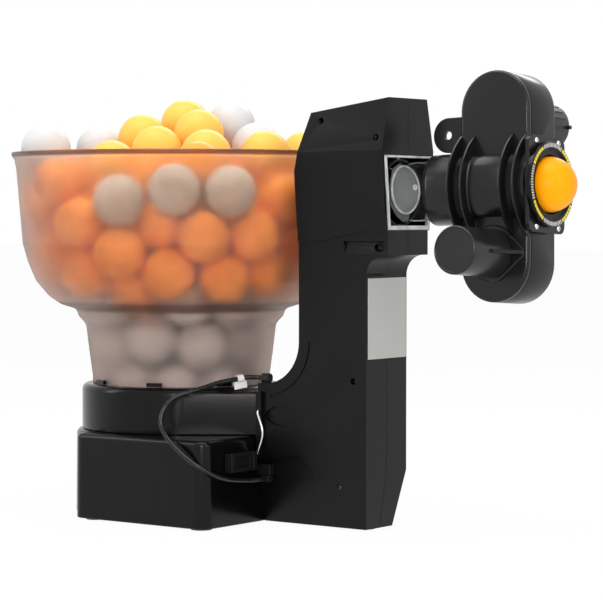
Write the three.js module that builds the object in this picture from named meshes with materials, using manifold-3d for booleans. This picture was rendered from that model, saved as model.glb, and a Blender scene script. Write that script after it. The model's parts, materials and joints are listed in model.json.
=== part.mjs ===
// Table tennis robot: a ball hopper on a feeder drum, a hollow column that lifts the balls,
// and a two-wheel throwing head on a swivel in front of it.
// Millimetres, +Z up, shots leave along +X. Sizes are first given from the middle of the column;
// the whole robot is then moved so that the origin is under the middle of its box.
import * as THREE from 'three';
import { mergeVertices } from 'three/addons/utils/BufferGeometryUtils.js';
import Module from 'manifold-3d';

const wasm = await Module();
wasm.setup();

// Ball and clearances
const ballDiameter = 40;
const ductPlay = 0.7;
const headPlay = 1;
const fitGap = 0.3;
const turnGap = 0.6;
const overrun = 1;

// Column housing, as a side view in X and Z and a front view in Y and Z
const liftX = -7.3;
const columnWall = 4.2;
const footSetBack = 6.5;
const footHalf = 17;
const footTop = 44;
const elbowCover = 6.2;
const elbowCurve = 33;
const elbowFlat = 6.5;
const throatCurve = 15.6;
const throatFlat = 3.7;
const throatDrop = 62;
const upperReach = 9.3;
const upperWall = 2.6;
const ledgeFlat = 21;
const ledgeRise = 8;
const ledgeDrop = 36;
const ledgeStep = 1.4;
const wideStep = 6.1;
const wideRise = 31;
const roofStep = 1.5;
const roofFrontRise = 70.3;
const roofSlope = 10;
const roofSetBack = 12.2;
const backChamferRise = 16;
const shellSplit = 0.3;
const elbowPocketDepth = 2;
const elbowPocketLong = 20;
const elbowPocketHigh = 8;
const elbowGrooveInset = 9;
const elbowGrooveWidth = 2;
const elbowGrooveDepth = 1;
const skirtSetBack = 1.7;
const covePocketRadius = 15;
const covePocketDepth = 2.4;
const flangeThick = 5.2;
const flangeProud = 3;
const flangeDrop = 29;
const flangeRise = 22;

// Base block, its plate and feet
const blockHalf = 92;
const blockHeight = 68;
const blockCorner = 10;
const blockWall = 2.5;
const blockBackReach = 35;
const tailStep = 5;
const plateThick = 2.5;
const plateInset = 3;
const footPad = 1.5;
const footPadRadius = 8;
const boardLong = 51;
const boardWide = 46;
const boardThick = 1.6;
const boardLift = 8;

// Feeder drum and what turns in it
const drumSetBack = 19;
const drumBore = 68;
const drumWall = 3;
const drumStep = 8;
const drumEdge = 3;
const ductRise = 12;
const ductCover = 3.3;
const ductWall = 1.3;
const ductStraight = 1.8;
const lowerBendRoom = 14;
const upperBendRoom = 5;
const starGap = 2;
const starHeight = 20;
const starHub = 20;
const starPockets = 4;
const starCapHeight = 16;
const feederShaftRadius = 3;
const gearboxSide = 46;
const gearboxHeight = 20;
const gearboxDrop = 6.3;
const feederMotorRadius = 14;
const feederMotorLong = 36;

// Hopper
const rimGap = 3;
const rimLip = 3.5;
const bowlFlare = 5;
const bowlHigh = 124;
const hopperWall = 2.4;
const neckSeat = 2;
const neckFlare = 6;
const neckHigh = 59;
const shoulderStep = 14;
const ringBand = 6;
const lugCount = 8;
const lugLong = 12;
const lugDeep = 2.4;
const lugHigh = 3;

// Window, swing joint and its drive
const pivotZ = 254;
const pivotSetOff = 18.5;
const windowLowStep = 1.8;
const windowTopStep = 3.1;
const windowWall = 2;
const windowProud = 1.2;
const swivelTubeWall = 1.6;
const swingRingWall = 1.5;
const swingRingLong = 6;
const tiltReach = THREE.MathUtils.degToRad(10.3);
const pinRadius = 1.5;
const gearThick = 3;
const gearLift = 3;
const gearRadius = 18;
const gearTeeth = 24;
const sectorTeeth = 7;
const pinionTeeth = 8;
const toothHigh = 1.5;
const toothShares = [[-0.3, -0.5], [-0.13, 0.5], [0.13, 0.5], [0.3, -0.5]];
const swingMotorRadius = 11;
const swingMotorHigh = 19;
const shelfThick = 1.8;

// Throwing head, along its own axis from the swing joint
const headPitch = THREE.MathUtils.degToRad(2.3);
const headRoll = THREE.MathUtils.degToRad(3.5);
const cupBack = 28;
const cupLong = 33.4;
const cupWall = 1.9;
const cupNose = 32;
const sleeveWall = 3;
const caseSetOff = 2.7;
const caseSeam = -8;
const caseWall = 2.2;
const caseFarRoom = 2.5;
const lobeRoom = 12.2;
const barrelWall = 4;
const barrelRise = 1.6;
const finRise = 14.6;
const finStand = 8;
const finThick = 2;
const finStep = 11.4;
const wheelRadius = 25.5;
const wheelRoom = 0.95;
const wheelThick = 17;
const wheelSideRoom = 2.3;
const wheelGrip = 1.4;
const tyreThick = 7;
const motorRadius = 17.4;
const motorOffset = 4.6;
const motorNearEnd = -65;
const motorFarEnd = 66.6;
const motorShaftRadius = 1.6;
const bossThick = 3;
const leadGuideNear = -43;
const earReach = 35.5;
const earLow = 28;
const earHigh = 54;
const earThick = 3;
const earY = 5;
const earHole = 3.2;
const mouthPlateWideRoom = 3.5;
const mouthPlateHighRoom = 13.5;
const mouthPlateCorner = 6;
const mouthPlateThick = 3.2;
const collarRoom = 7;
const collarLong = 4.6;
const ringRoom = 4;
const ringWide = 5.5;
const ringLong = 4.4;
const mouthScrewSide = 9.5;
const mouthScrewInset = 4;

// Label plate, screws, sockets and the jumper cord
const labelDrop = 1.5;
const labelLong = 60.5;
const labelMargin = 1.6;
const labelThick = 0.8;
const screwHead = 2.6;
const screwShank = 1.4;
const screwSink = 4;
const screwBoss = 3.1;
const roofScrewInset = 10.3;
const roofScrewDrop = 6.4;
const upperScrewInset = 7.2;
const upperScrewRise = 40.5;
const ledgeScrewInset = 9.3;
const ledgeScrewDrop = 40.5;
const elbowScrewInset = 11.8;
const elbowScrewRise = 4.9;
const footScrewInset = 20.3;
const footScrewDrop = 11.1;
const smallScrewHead = 2.3;
const socketSetOff = 9.5;
const socketWide = 31.5;
const socketDrop = 11;
const socketTall = 14;
const socketDeep = 7;
const plugSocketSetOff = 2.7;
const plugSocketLong = 12;
const plugSocketDrop = 12.5;
const plugSocketTall = 8;
const plugSocketDeep = 6;
const plugDeep = 6;
const plugWide = 7;
const plugHigh = 4.6;
const cordRadius = 1.8;
const cordSides = 8;
const leadSteps = 48;
const tagShare = 0.09;
const tagLong = 11;
const tagHigh = 5.4;
const tagThick = 0.7;
const glandRadius = 3.6;
const wireRadius = 1;
const latchInset = 3;
const latchDrop = 14;
const latchBow = 6.5;

// Way of the lead between its gland and its plug
const leadRoute = [
  [-74.5, -21.1, 112.4], [-81, -28, 112.6], [-86.5, -40, 110.9], [-91.4, -51, 109.1], [-95.3, -62, 106.2],
  [-98.9, -72, 103.7], [-102.7, -80.5, 101.7], [-106.2, -87.5, 98.4], [-108.8, -92.5, 92.9],
  [-110.4, -95.6, 85.4], [-109.8, -96.6, 78.7], [-105.5, -97, 71.8], [-96.1, -97, 63.1],
  [-82.5, -96, 53.5], [-74, -92, 47.8], [-69, -84, 42.6], [-66.5, -72, 38.8], [-65, -59, 37],
  [-63, -47.5, 36], [-60.4, -39.2, 35.9],
];

// Facets of round pieces
const fine = 48;
const medium = 32;
const coarse = 20;
const small = 12;

// The duct that a ball needs, and the column around it
const ductBore = ballDiameter / 2 + ductPlay;
const ductRadius = ductBore + ductWall;
const lowerBend = ductRadius + lowerBendRoom;
const upperBend = ductRadius + upperBendRoom;
const columnHalf = ductRadius + fitGap + columnWall;
const columnBack = liftX - ductRadius - turnGap - upperWall;
const windowBack = liftX + upperBend + ductStraight;
const pivotX = windowBack + pivotSetOff;
const upperFront = pivotX + upperReach;
const columnFront = upperFront - throatFlat - throatCurve;
const footFront = columnFront - footSetBack;
const throatStart = pivotZ - throatDrop;
const ledgeBack = columnBack + ledgeFlat;
const ledgeHeight = pivotZ - ledgeDrop;
const ledgeHalf = columnHalf + ledgeStep;
const wideHalf = ledgeHalf + wideStep;
const wideHeight = pivotZ + wideRise;
const roofHalf = columnHalf - roofStep;
const roofFrontHeight = pivotZ + roofFrontRise;
const roofBackHeight = roofFrontHeight - roofSlope;
const roofBack = columnBack + roofSetBack;
const backChamferHeight = pivotZ + backChamferRise;

// Block and drum behind the column, the drum's outlet at the height of the duct
const blockFront = columnBack - elbowCurve - elbowFlat;
const ductHeight = blockHeight + ductRise;
const elbowTop = ductHeight + ductRadius + fitGap + elbowCover;
const flangeLow = ductHeight - flangeDrop;
const flangeHigh = ductHeight + flangeRise;
const drumFloor = ductHeight - ductBore;
const drumTop = ductHeight + ductBore + ductCover;
const drumRadius = drumBore + drumWall + drumStep;
const drumX = blockFront - drumSetBack - drumRadius;
const blockBack = drumX - blockBackReach;
const tailRadius = drumRadius + tailStep;
const starOuter = drumBore - starGap;
const gearboxTop = drumFloor - drumWall - gearboxDrop;
const elbowEnd = blockFront + fitGap;

// Hopper, clear of the column's back at its rim
const neckRadius = drumBore + neckSeat;
const neckTopRadius = neckRadius + neckFlare;
const shoulderRadius = neckRadius + shoulderStep;
const shoulderHeight = drumTop + neckHigh;
const rimHeight = shoulderHeight + bowlHigh;
const rimRadius = columnBack - rimGap - drumX;
const hopperTopRadius = rimRadius - rimLip;
const hopperWaistRadius = hopperTopRadius - bowlFlare;

// Swing joint and window around the tube of the swivel
const headBore = ballDiameter / 2 + headPlay;
const tubeRadius = headBore + swivelTubeWall;
const ringBore = (tubeRadius + (swingRingLong / 2) * Math.sin(tiltReach)) / Math.cos(tiltReach) + fitGap;
const ringRadius = ringBore + swingRingWall;
const windowHalfHigh = ringRadius + fitGap + windowWall;
const windowLowHalf = ledgeHalf - windowLowStep;
const windowTopHalf = wideHalf - windowTopStep;

// Head case around its wheels, with the barrel and the mouth around the ball's way
const cupFront = cupBack + cupLong;
const sleeveRadius = headBore + sleeveWall;
const cupRadius = sleeveRadius + turnGap + cupWall;
const caseBack = cupFront + caseSetOff;
const caseHalfWide = wheelRadius + wheelRoom + caseWall;
const caseX = caseBack + caseHalfWide;
const caseFront = caseX + caseHalfWide;
const caseNear = -(wheelThick / 2 + wheelSideRoom + caseWall);
const caseFar = headBore + caseWall + caseFarRoom;
const wheelOffset = ballDiameter / 2 - wheelGrip + wheelRadius;
const motorZ = wheelOffset + motorOffset;
const caseHalfHigh = wheelOffset + wheelRadius + lobeRoom + caseWall;
const barrelProud = headBore + barrelWall + caseNear;
const barrelHalfHigh = headBore + barrelRise;
const finHalfHigh = barrelHalfHigh + finRise;
const finProud = barrelProud + finStand;
const mouthPlateHalfWide = headBore + mouthPlateWideRoom;
const mouthPlateHalfHigh = headBore + mouthPlateHighRoom;
const mouthScrewY = mouthPlateHalfWide - mouthScrewSide;
const mouthScrewZ = mouthPlateHalfHigh - mouthScrewInset;
const collarRadius = headBore + collarRoom;
const ringInner = headBore + ringRoom;
const ringOuter = ringInner + ringWide;
const ringFront = caseFront + collarLong + fitGap + mouthPlateThick + fitGap + ringLong;

// Middle of the whole robot from front to back
const robotBack = drumX - rimRadius;
const robotFront = pivotX + ringFront * Math.cos(headPitch) + ringOuter * Math.sin(headPitch);
const robotMiddle = (robotBack + robotFront) / 2;

// Drawing planes: a drawing in X and Z gets its thickness along Y, one in Y and Z along X
const planeXZ = new THREE.Matrix4().makeBasis(
  new THREE.Vector3(1, 0, 0), new THREE.Vector3(0, 0, 1), new THREE.Vector3(0, -1, 0));
const planeYZ = new THREE.Matrix4().makeBasis(
  new THREE.Vector3(0, 1, 0), new THREE.Vector3(0, 0, 1), new THREE.Vector3(1, 0, 0));

// A closed three.js geometry as a solid that can be cut and joined
function solidOf(geometry) {
  const bare = geometry.clone();
  bare.deleteAttribute('normal');
  bare.deleteAttribute('uv');
  const merged = mergeVertices(bare);
  return new wasm.Manifold(new wasm.Mesh({
    numProp: 3,
    vertProperties: Float32Array.from(merged.attributes.position.array),
    triVerts: Uint32Array.from(merged.index.array),
  }));
}

// The solid back as a three.js geometry
function geometryOf(solid) {
  const mesh = solid.getMesh();
  const geometry = new THREE.BufferGeometry();
  geometry.setAttribute('position', new THREE.BufferAttribute(mesh.vertProperties, 3));
  geometry.setIndex(new THREE.BufferAttribute(mesh.triVerts, 1));
  geometry.computeVertexNormals();
  return geometry;
}

function join(...solids) {
  return solids.reduce((sum, next) => sum.add(next));
}

function cut(solid, ...tools) {
  return tools.reduce((rest, tool) => rest.subtract(tool), solid);
}

function block(x0, x1, y0, y1, z0, z1) {
  const box = new THREE.BoxGeometry(x1 - x0, y1 - y0, z1 - z0);
  return solidOf(box.translate((x0 + x1) / 2, (y0 + y1) / 2, (z0 + z1) / 2));
}

function rodX(radius, x0, x1, y, z, sides = medium) {
  const rod = new THREE.CylinderGeometry(radius, radius, x1 - x0, sides).rotateZ(-Math.PI / 2);
  return solidOf(rod.translate((x0 + x1) / 2, y, z));
}

function rodY(radius, y0, y1, x, z, sides = medium) {
  const rod = new THREE.CylinderGeometry(radius, radius, y1 - y0, sides);
  return solidOf(rod.translate(x, (y0 + y1) / 2, z));
}

function rodZ(radius, z0, z1, x, y, sides = medium) {
  const rod = new THREE.CylinderGeometry(radius, radius, z1 - z0, sides).rotateX(Math.PI / 2);
  return solidOf(rod.translate(x, y, (z0 + z1) / 2));
}

function extrude(shape, depth, curveSegments) {
  return new THREE.ExtrudeGeometry(shape, { depth, bevelEnabled: false, curveSegments });
}

function slabXZ(shape, y0, y1, arcSteps = 6) {
  return solidOf(extrude(shape, y1 - y0, arcSteps).applyMatrix4(planeXZ).translate(0, y1, 0));
}

function slabYZ(shape, x0, x1, arcSteps = 6) {
  return solidOf(extrude(shape, x1 - x0, arcSteps).applyMatrix4(planeYZ).translate(x0, 0, 0));
}

function slabXY(shape, z0, z1, arcSteps = 6) {
  return solidOf(extrude(shape, z1 - z0, arcSteps).translate(0, 0, z0));
}

function polygon(points) {
  return new THREE.Shape(points.map(([u, v]) => new THREE.Vector2(u, v)));
}

function roundedRect(u0, u1, v0, v1, corner) {
  const shape = new THREE.Shape();
  shape.moveTo(u0 + corner, v0);
  shape.lineTo(u1 - corner, v0);
  shape.absarc(u1 - corner, v0 + corner, corner, -Math.PI / 2, 0);
  shape.lineTo(u1, v1 - corner);
  shape.absarc(u1 - corner, v1 - corner, corner, 0, Math.PI / 2);
  shape.lineTo(u0 + corner, v1);
  shape.absarc(u0 + corner, v1 - corner, corner, Math.PI / 2, Math.PI);
  shape.lineTo(u0, v0 + corner);
  shape.absarc(u0 + corner, v0 + corner, corner, Math.PI, 1.5 * Math.PI);
  return shape;
}

// Upright stadium, round above and below
function stadium(centre, halfWide, halfHigh) {
  const shape = new THREE.Shape();
  shape.absarc(centre, halfHigh - halfWide, halfWide, 0, Math.PI);
  shape.absarc(centre, halfWide - halfHigh, halfWide, Math.PI, 2 * Math.PI);
  return shape;
}

// A closed profile of [radius, height] turned about the upright axis at x
function turned(profile, x, sides = fine) {
  const points = profile.map(([radius, height]) => new THREE.Vector2(radius, height));
  points.push(points[0].clone());
  return solidOf(new THREE.LatheGeometry(points, sides).rotateX(Math.PI / 2).translate(x, 0, 0));
}

// Materials, one look for each kind of surface
function finish(color, roughness, metalness = 0) {
  return { color, roughness, metalness };
}
const blackPlastic = finish(0x2b2b2b, 0.5);
const headPlastic = finish(0x3c3c3c, 0.5);
const smokePlastic = finish(0xa89c98, 0.35);
const clearPlastic = finish(0xd6dcdc, 0.1);
const dutyPlastic = finish(0x55595c, 0.5);
const rubberBlack = finish(0x1c1c1c, 0.9);
const foamGrey = finish(0x6b6b66, 0.95);
const steel = finish(0xb4b6b8, 0.3, 1);
const silverPlate = finish(0xc4c4c0, 0.4, 0.6);
const boardGreen = finish(0x1f5a3a, 0.5);
const whitePlastic = finish(0xe8e8e6, 0.5);

const robot = new THREE.Group();
const standing = new THREE.Group();
standing.position.x = -robotMiddle;
robot.add(standing);
const tilting = new THREE.Group();
tilting.position.set(pivotX, 0, pivotZ);
tilting.rotation.y = -headPitch;
standing.add(tilting);
const head = new THREE.Group();
head.rotation.x = -headRoll;
tilting.add(head);

function place(name, solid, look, parent = standing) {
  const mesh = new THREE.Mesh(geometryOf(solid), new THREE.MeshStandardMaterial(look));
  mesh.name = name;
  parent.add(mesh);
  return mesh;
}

// Base block: a box with rounded corners that runs into a round tail under the drum
function blockPlan(inset) {
  const box = roundedRect(blockBack + inset, blockFront - inset, -blockHalf + inset, blockHalf - inset,
    blockCorner - inset);
  return { box, tail: tailRadius - inset };
}

function blockSolid(inset, z0, z1) {
  const plan = blockPlan(inset);
  return join(slabXY(plan.box, z0, z1), rodZ(plan.tail, z0, z1, drumX, 0, fine));
}

const cupOuter = drumBore + drumWall;
const coverLow = footPad;
const troughBack = drumX + drumBore;
const troughHalf = ductRadius;
const troughLow = drumFloor - drumWall;
const baseCover = cut(
  blockSolid(0, coverLow, blockHeight),
  blockSolid(blockWall, coverLow - overrun, blockHeight - blockWall),
  rodZ(cupOuter + fitGap, coverLow, blockHeight + overrun, drumX, 0, fine),
  block(troughBack, blockFront + overrun, -troughHalf - fitGap, troughHalf + fitGap,
    troughLow - fitGap, blockHeight + overrun));
place('base_cover', baseCover, blackPlastic);

// Base plate with the posts that carry the feeder gearbox and the circuit board
const plateTop = coverLow + plateThick;
const gearboxLow = gearboxTop - gearboxHeight;
const postRadius = plateInset;
const postInset = gearboxSide / 2 - postRadius;
const boardHeight = plateTop + boardLift;
const boardFront = blockFront - blockWall - plateInset;
const boardBack = boardFront - boardLong;
const boardNear = -blockHalf + 2 * plateInset + blockWall;
const boardFar = boardNear + boardWide;
const gearboxPosts = [-1, 1].flatMap((sx) => [-1, 1].map((sy) => rodZ(postRadius, coverLow,
  gearboxLow - fitGap, drumX + sx * postInset, sy * postInset, small)));
const boardPosts = [boardBack + 2 * postRadius, boardFront - 2 * postRadius].flatMap((x) => (
  [boardNear + 2 * postRadius, boardFar - 2 * postRadius].map((y) => rodZ(postRadius, coverLow,
    boardHeight - fitGap, x, y, small))));
const basePlate = join(blockSolid(blockWall + fitGap, coverLow, plateTop), ...gearboxPosts, ...boardPosts);
place('base_plate', basePlate, dutyPlastic);
place('circuit_board', block(boardBack, boardFront, boardNear, boardFar,
  boardHeight, boardHeight + boardThick), boardGreen);

// Rubber feet under the plate and under the foot of the column
const padInset = footPadRadius + blockWall + plateInset;
const padPlaces = [
  [blockBack + padInset, -blockHalf + padInset], [blockBack + padInset, blockHalf - padInset],
  [blockFront - padInset, -blockHalf + padInset], [blockFront - padInset, blockHalf - padInset],
  [footFront - padInset, 0],
];
padPlaces.forEach(([x, y], index) => {
  place(`rubber_foot_${index + 1}`, rodZ(footPadRadius, 0, footPad - fitGap / 3, x, y, coarse), rubberBlack);
});

// Feeder drum: round around the star wheel, drawn in towards the elbow of the column
const drumLow = blockHeight + fitGap;
const drumMouthHalf = columnHalf;
const drumMouthX = blockFront;
function drumPlan() {
  const toMouth = new THREE.Vector2(drumMouthX - drumX, drumMouthHalf);
  const reach = toMouth.length();
  const touch = toMouth.angle() + Math.acos(drumRadius / reach);
  const shape = new THREE.Shape();
  shape.moveTo(drumMouthX, drumMouthHalf);
  shape.absarc(drumX, 0, drumRadius, touch, 2 * Math.PI - touch);
  shape.lineTo(drumMouthX, -drumMouthHalf);
  return shape;
}
const drumShell = solidOf(new THREE.ExtrudeGeometry(drumPlan(), {
  depth: drumTop - drumLow - 2 * drumEdge,
  bevelThickness: drumEdge,
  bevelSize: drumEdge,
  bevelOffset: -drumEdge,
  bevelSegments: 2,
  curveSegments: coarse,
}).translate(0, 0, drumLow + drumEdge));
const drumCup = rodZ(cupOuter, drumFloor - drumWall, drumLow + drumEdge, drumX, 0, fine);
const drumCavity = rodZ(drumBore, drumFloor, drumTop + overrun, drumX, 0, fine);
const outlet = rodX(ductBore, drumX, drumMouthX + overrun, 0, ductHeight);
const shaftHole = rodZ(feederShaftRadius + fitGap, drumFloor - 2 * drumWall, drumTop, drumX, 0, small);
const trough = block(troughBack, drumMouthX, -troughHalf, troughHalf, troughLow, drumLow + drumEdge);
const drumBody = cut(join(drumShell, drumCup, trough), drumCavity, outlet, shaftHole);
place('feeder_drum', drumBody, blackPlastic);

// Star wheel that carries the balls round to the outlet
const starLow = drumFloor + turnGap;
const pocketRing = starOuter - ductBore;
const pocketCuts = Array.from({ length: starPockets }, (_, index) => {
  const angle = (2 * Math.PI * index) / starPockets;
  const x = drumX + pocketRing * Math.cos(angle);
  const y = pocketRing * Math.sin(angle);
  return join(rodZ(ductBore, starLow - overrun, starLow + starHeight + overrun, x, y, coarse),
    rodZ(ductBore, starLow - overrun, starLow + starHeight + overrun,
      drumX + starOuter * Math.cos(angle), starOuter * Math.sin(angle), coarse));
});
const starWheel = cut(rodZ(starOuter, starLow, starLow + starHeight, drumX, 0, fine), ...pocketCuts,
  rodZ(feederShaftRadius + fitGap, starLow - overrun, starLow + starHeight + overrun, drumX, 0, small));
place('star_wheel', starWheel, dutyPlastic);
const shaftTop = starLow + starHeight;
const capLow = shaftTop + fitGap;
place('star_cap', turned([[0, capLow], [starHub, capLow], [starHub / 2, capLow + starCapHeight / 2],
  [0, capLow + starCapHeight]], drumX, coarse), dutyPlastic);
place('feeder_shaft', rodZ(feederShaftRadius, gearboxLow + fitGap + plateThick, shaftTop, drumX, 0, small),
  steel);

// Gearbox and motor that turn the star wheel
const gearboxHalf = gearboxSide / 2;
const gearbox = cut(block(drumX - gearboxHalf, drumX + gearboxHalf, -gearboxHalf, gearboxHalf,
  gearboxLow, gearboxTop),
rodZ(feederShaftRadius + fitGap, gearboxLow + plateThick, gearboxTop + overrun, drumX, 0, small));
place('feeder_gearbox', gearbox, dutyPlastic);
const feederMotorX = drumX + gearboxHalf + fitGap;
place('feeder_motor', rodX(feederMotorRadius, feederMotorX, feederMotorX + feederMotorLong, 0,
  gearboxLow + gearboxHeight / 2 - feederMotorRadius / 4, coarse), steel);

// Hopper: a bowl on a waisted neck with lugs that lock into the drum
const neckLow = drumTop + fitGap;
const bowlRise = rimHeight - shoulderHeight;
const bowlShares = [[0.03, 0.28], [0.08, 0.5], [0.18, 0.75], [0.3, 0.9], [0.42, 1]];
const bowlCurve = bowlShares.map(([up, out]) => [
  shoulderRadius + out * (hopperWaistRadius - shoulderRadius), shoulderHeight + up * bowlRise]);
const hopperOutside = [
  [neckRadius, neckLow], [neckTopRadius, shoulderHeight - 2 * ringBand],
  [shoulderRadius - hopperWall, shoulderHeight - ringBand], [shoulderRadius, shoulderHeight],
  ...bowlCurve, [hopperTopRadius, rimHeight - 2 * ringBand], [hopperTopRadius + hopperWall / 2,
    rimHeight - ringBand], [rimRadius, rimHeight - hopperWall], [rimRadius, rimHeight],
];
const hopperInside = hopperOutside.slice(0, -1).reverse().map(([radius, height]) => [
  radius - hopperWall, height]);
const hopperProfile = [...hopperOutside, [rimRadius - hopperWall, rimHeight], ...hopperInside];
const lugs = Array.from({ length: lugCount }, (_, index) => {
  const lug = new THREE.BoxGeometry(2 * lugDeep, lugLong, lugHigh);
  lug.translate(neckRadius, 0, neckLow + lugHigh / 2 + fitGap);
  return solidOf(lug.rotateZ((2 * Math.PI * (index + 1 / 2)) / lugCount).translate(drumX, 0, 0));
});
const hopper = cut(join(turned(hopperProfile, drumX), ...lugs),
  rodZ(neckRadius - hopperWall, neckLow - overrun, neckLow + 2 * lugHigh, drumX, 0, fine));
place('hopper', hopper, smokePlastic);

// Column housing: two shells that meet on the middle plane
function housingSide(inset) {
  const shape = new THREE.Shape();
  const low = footPad + inset;
  const throatRadius = throatCurve + inset;
  const throatX = columnFront + throatCurve;
  const elbowX = columnBack - elbowCurve;
  const elbowZ = elbowTop + elbowCurve;
  shape.moveTo(elbowEnd + inset, low);
  shape.lineTo(footFront - inset, low);
  shape.lineTo(columnFront - inset, footTop);
  shape.lineTo(columnFront - inset, throatStart);
  shape.absarc(throatX, throatStart, throatRadius, Math.PI, Math.PI / 2, true);
  shape.lineTo(upperFront - inset, throatStart + throatRadius);
  shape.lineTo(upperFront - inset, roofFrontHeight - inset);
  shape.lineTo(roofBack + inset, roofBackHeight - inset);
  shape.lineTo(columnBack + inset, backChamferHeight);
  shape.lineTo(columnBack + inset, elbowZ);
  shape.absarc(elbowX, elbowZ, elbowCurve + inset, 0, -Math.PI / 2, true);
  shape.lineTo(elbowEnd + inset, elbowTop - inset);
  return shape;
}

function mirrored(points) {
  return polygon([...points, ...points.map(([y, z]) => [-y, z]).reverse()]);
}

// The column below has flat sides; above the ledge the sides lean out and back in to the roof
function columnFrontView(inset) {
  return mirrored([[footHalf - inset, footPad - overrun + inset], [columnHalf - inset, footTop],
    [columnHalf - inset, ledgeHeight + ledgeRise + inset]]);
}
function upperFrontView(inset, low) {
  return mirrored([[ledgeHalf - inset, low], [wideHalf - inset, wideHeight],
    [roofHalf - inset, roofFrontHeight + overrun]]);
}
const sideReach = wideHalf + overrun;
const housingBack = elbowEnd - overrun;
const housingAhead = upperFront + overrun;
const ledgeTool = slabXZ(polygon([
  [columnBack - overrun, ledgeHeight], [ledgeBack, ledgeHeight], [columnFront, ledgeHeight + ledgeRise],
  [housingAhead, ledgeHeight + ledgeRise], [housingAhead, roofFrontHeight + overrun],
  [columnBack - overrun, roofFrontHeight + overrun]]), -sideReach, sideReach);
function housingSolid(inset, sideInset, upperInset) {
  const side = slabXZ(housingSide(inset), -sideReach, sideReach);
  const lower = slabYZ(columnFrontView(sideInset), housingBack, housingAhead);
  const upper = slabYZ(upperFrontView(upperInset, ledgeHeight), housingBack, housingAhead);
  return { side, lower: side.intersect(lower), upper: side.intersect(upper) };
}
const outerHousing = housingSolid(0, 0, 0);
const innerHousing = housingSolid(upperWall, columnWall, upperWall);
const ledgeFloor = block(columnBack, housingAhead, -sideReach, sideReach,
  ledgeHeight + ledgeRise + upperWall, roofFrontHeight);

// Hollows pressed into both side faces: a pocket in the elbow, a groove along its curve,
// the set-back skirt below it and a cove under the ledge
function sideHollows(side) {
  const outer = side * (columnHalf + overrun);
  const range = (depth) => (side < 0 ? [outer, outer + overrun + depth] : [outer - overrun - depth, outer]);
  const elbowX = columnBack - elbowCurve;
  const elbowZ = elbowTop + elbowCurve;
  const pocket = new THREE.Shape();
  const pocketX = elbowEnd + flangeThick + elbowPocketLong + fitGap;
  pocket.absellipse(pocketX, ductHeight + elbowPocketHigh / 2, elbowPocketLong - overrun,
    elbowPocketHigh, 0, 2 * Math.PI, false, 0);
  const groove = new THREE.Shape();
  const grooveRadius = elbowCurve + elbowGrooveInset;
  groove.absarc(elbowX, elbowZ, grooveRadius, -Math.PI / 2.2, 0);
  groove.absarc(elbowX, elbowZ, grooveRadius + elbowGrooveWidth, 0, -Math.PI / 2.2, true);
  const skirt = polygon([[housingBack, 0], [housingBack, flangeLow - overrun],
    [elbowX + overrun, flangeLow - overrun], [columnBack, flangeLow + 2 * elbowGrooveWidth],
    [ledgeBack - elbowPocketHigh, footTop], [ledgeBack, 0]]);
  const coveX0 = (ledgeBack + columnFront) / 2;
  const coveZ = ledgeHeight + ledgeRise / 2 - covePocketRadius / 3;
  const coveY = side * (columnHalf + covePocketRadius - covePocketDepth);
  return [slabXZ(pocket, ...range(elbowPocketDepth)), slabXZ(groove, ...range(elbowGrooveDepth)),
    slabXZ(skirt, ...range(skirtSetBack)),
    rodX(covePocketRadius, coveX0, upperFront - upperWall, coveY, coveZ)
      .intersect(block(coveX0, housingAhead, -sideReach, sideReach, coveZ - covePocketRadius, ledgeHeight))];
}
const flangeHalf = columnHalf + flangeProud;
const flange = block(elbowEnd, elbowEnd + flangeThick, -flangeHalf, flangeHalf, flangeLow, flangeHigh);
const latchLow = flangeLow + latchInset;
const latchHigh = flangeHigh - latchDrop;
const latchHoles = [latchLow, latchHigh].map((z) => rodY(wireRadius + fitGap, -flangeHalf - overrun,
  -columnHalf + overrun, elbowEnd + flangeThick / 2, z, small));
const windowPlan = (inset) => mirrored([
  [windowLowHalf - inset, pivotZ - windowHalfHigh + inset],
  [windowTopHalf - inset, pivotZ + windowHalfHigh - inset]]);
const housingShape = cut(
  join(cut(join(outerHousing.lower, outerHousing.upper.intersect(ledgeTool)),
    ...sideHollows(-1), ...sideHollows(1)), flange),
  innerHousing.lower, innerHousing.upper.intersect(ledgeFloor),
  rodX(ductRadius + fitGap, housingBack, columnBack, 0, ductHeight),
  slabYZ(windowPlan(-fitGap), windowBack - fitGap, housingAhead));

// Screw bosses inside, heads sunk from the near side
const screwPlaces = [
  [roofBack + roofScrewInset, roofBackHeight - roofScrewDrop],
  [upperFront - upperScrewInset, pivotZ + upperScrewRise],
  [upperFront - ledgeScrewInset, pivotZ - ledgeScrewDrop],
  [columnFront - elbowScrewInset, elbowTop + elbowScrewRise],
  [footFront - footScrewInset, footTop - footScrewDrop],
];
const bosses = screwPlaces.map(([x, z]) => rodY(screwBoss, -sideReach, sideReach, x, z, small)
  .intersect(outerHousing.side.intersect(join(outerHousing.lower, outerHousing.upper))));
const headSeat = -columnHalf + screwSink;
const headSinks = screwPlaces.map(([x, z]) => rodY(screwHead, -sideReach, headSeat, x, z, small));
const shankHoles = screwPlaces.map(([x, z]) => rodY(screwShank + fitGap, headSeat - overrun,
  columnHalf / 2 + fitGap, x, z, small));
const housing = cut(join(housingShape, ...bosses), ...headSinks, ...shankHoles, ...latchHoles);

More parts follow.
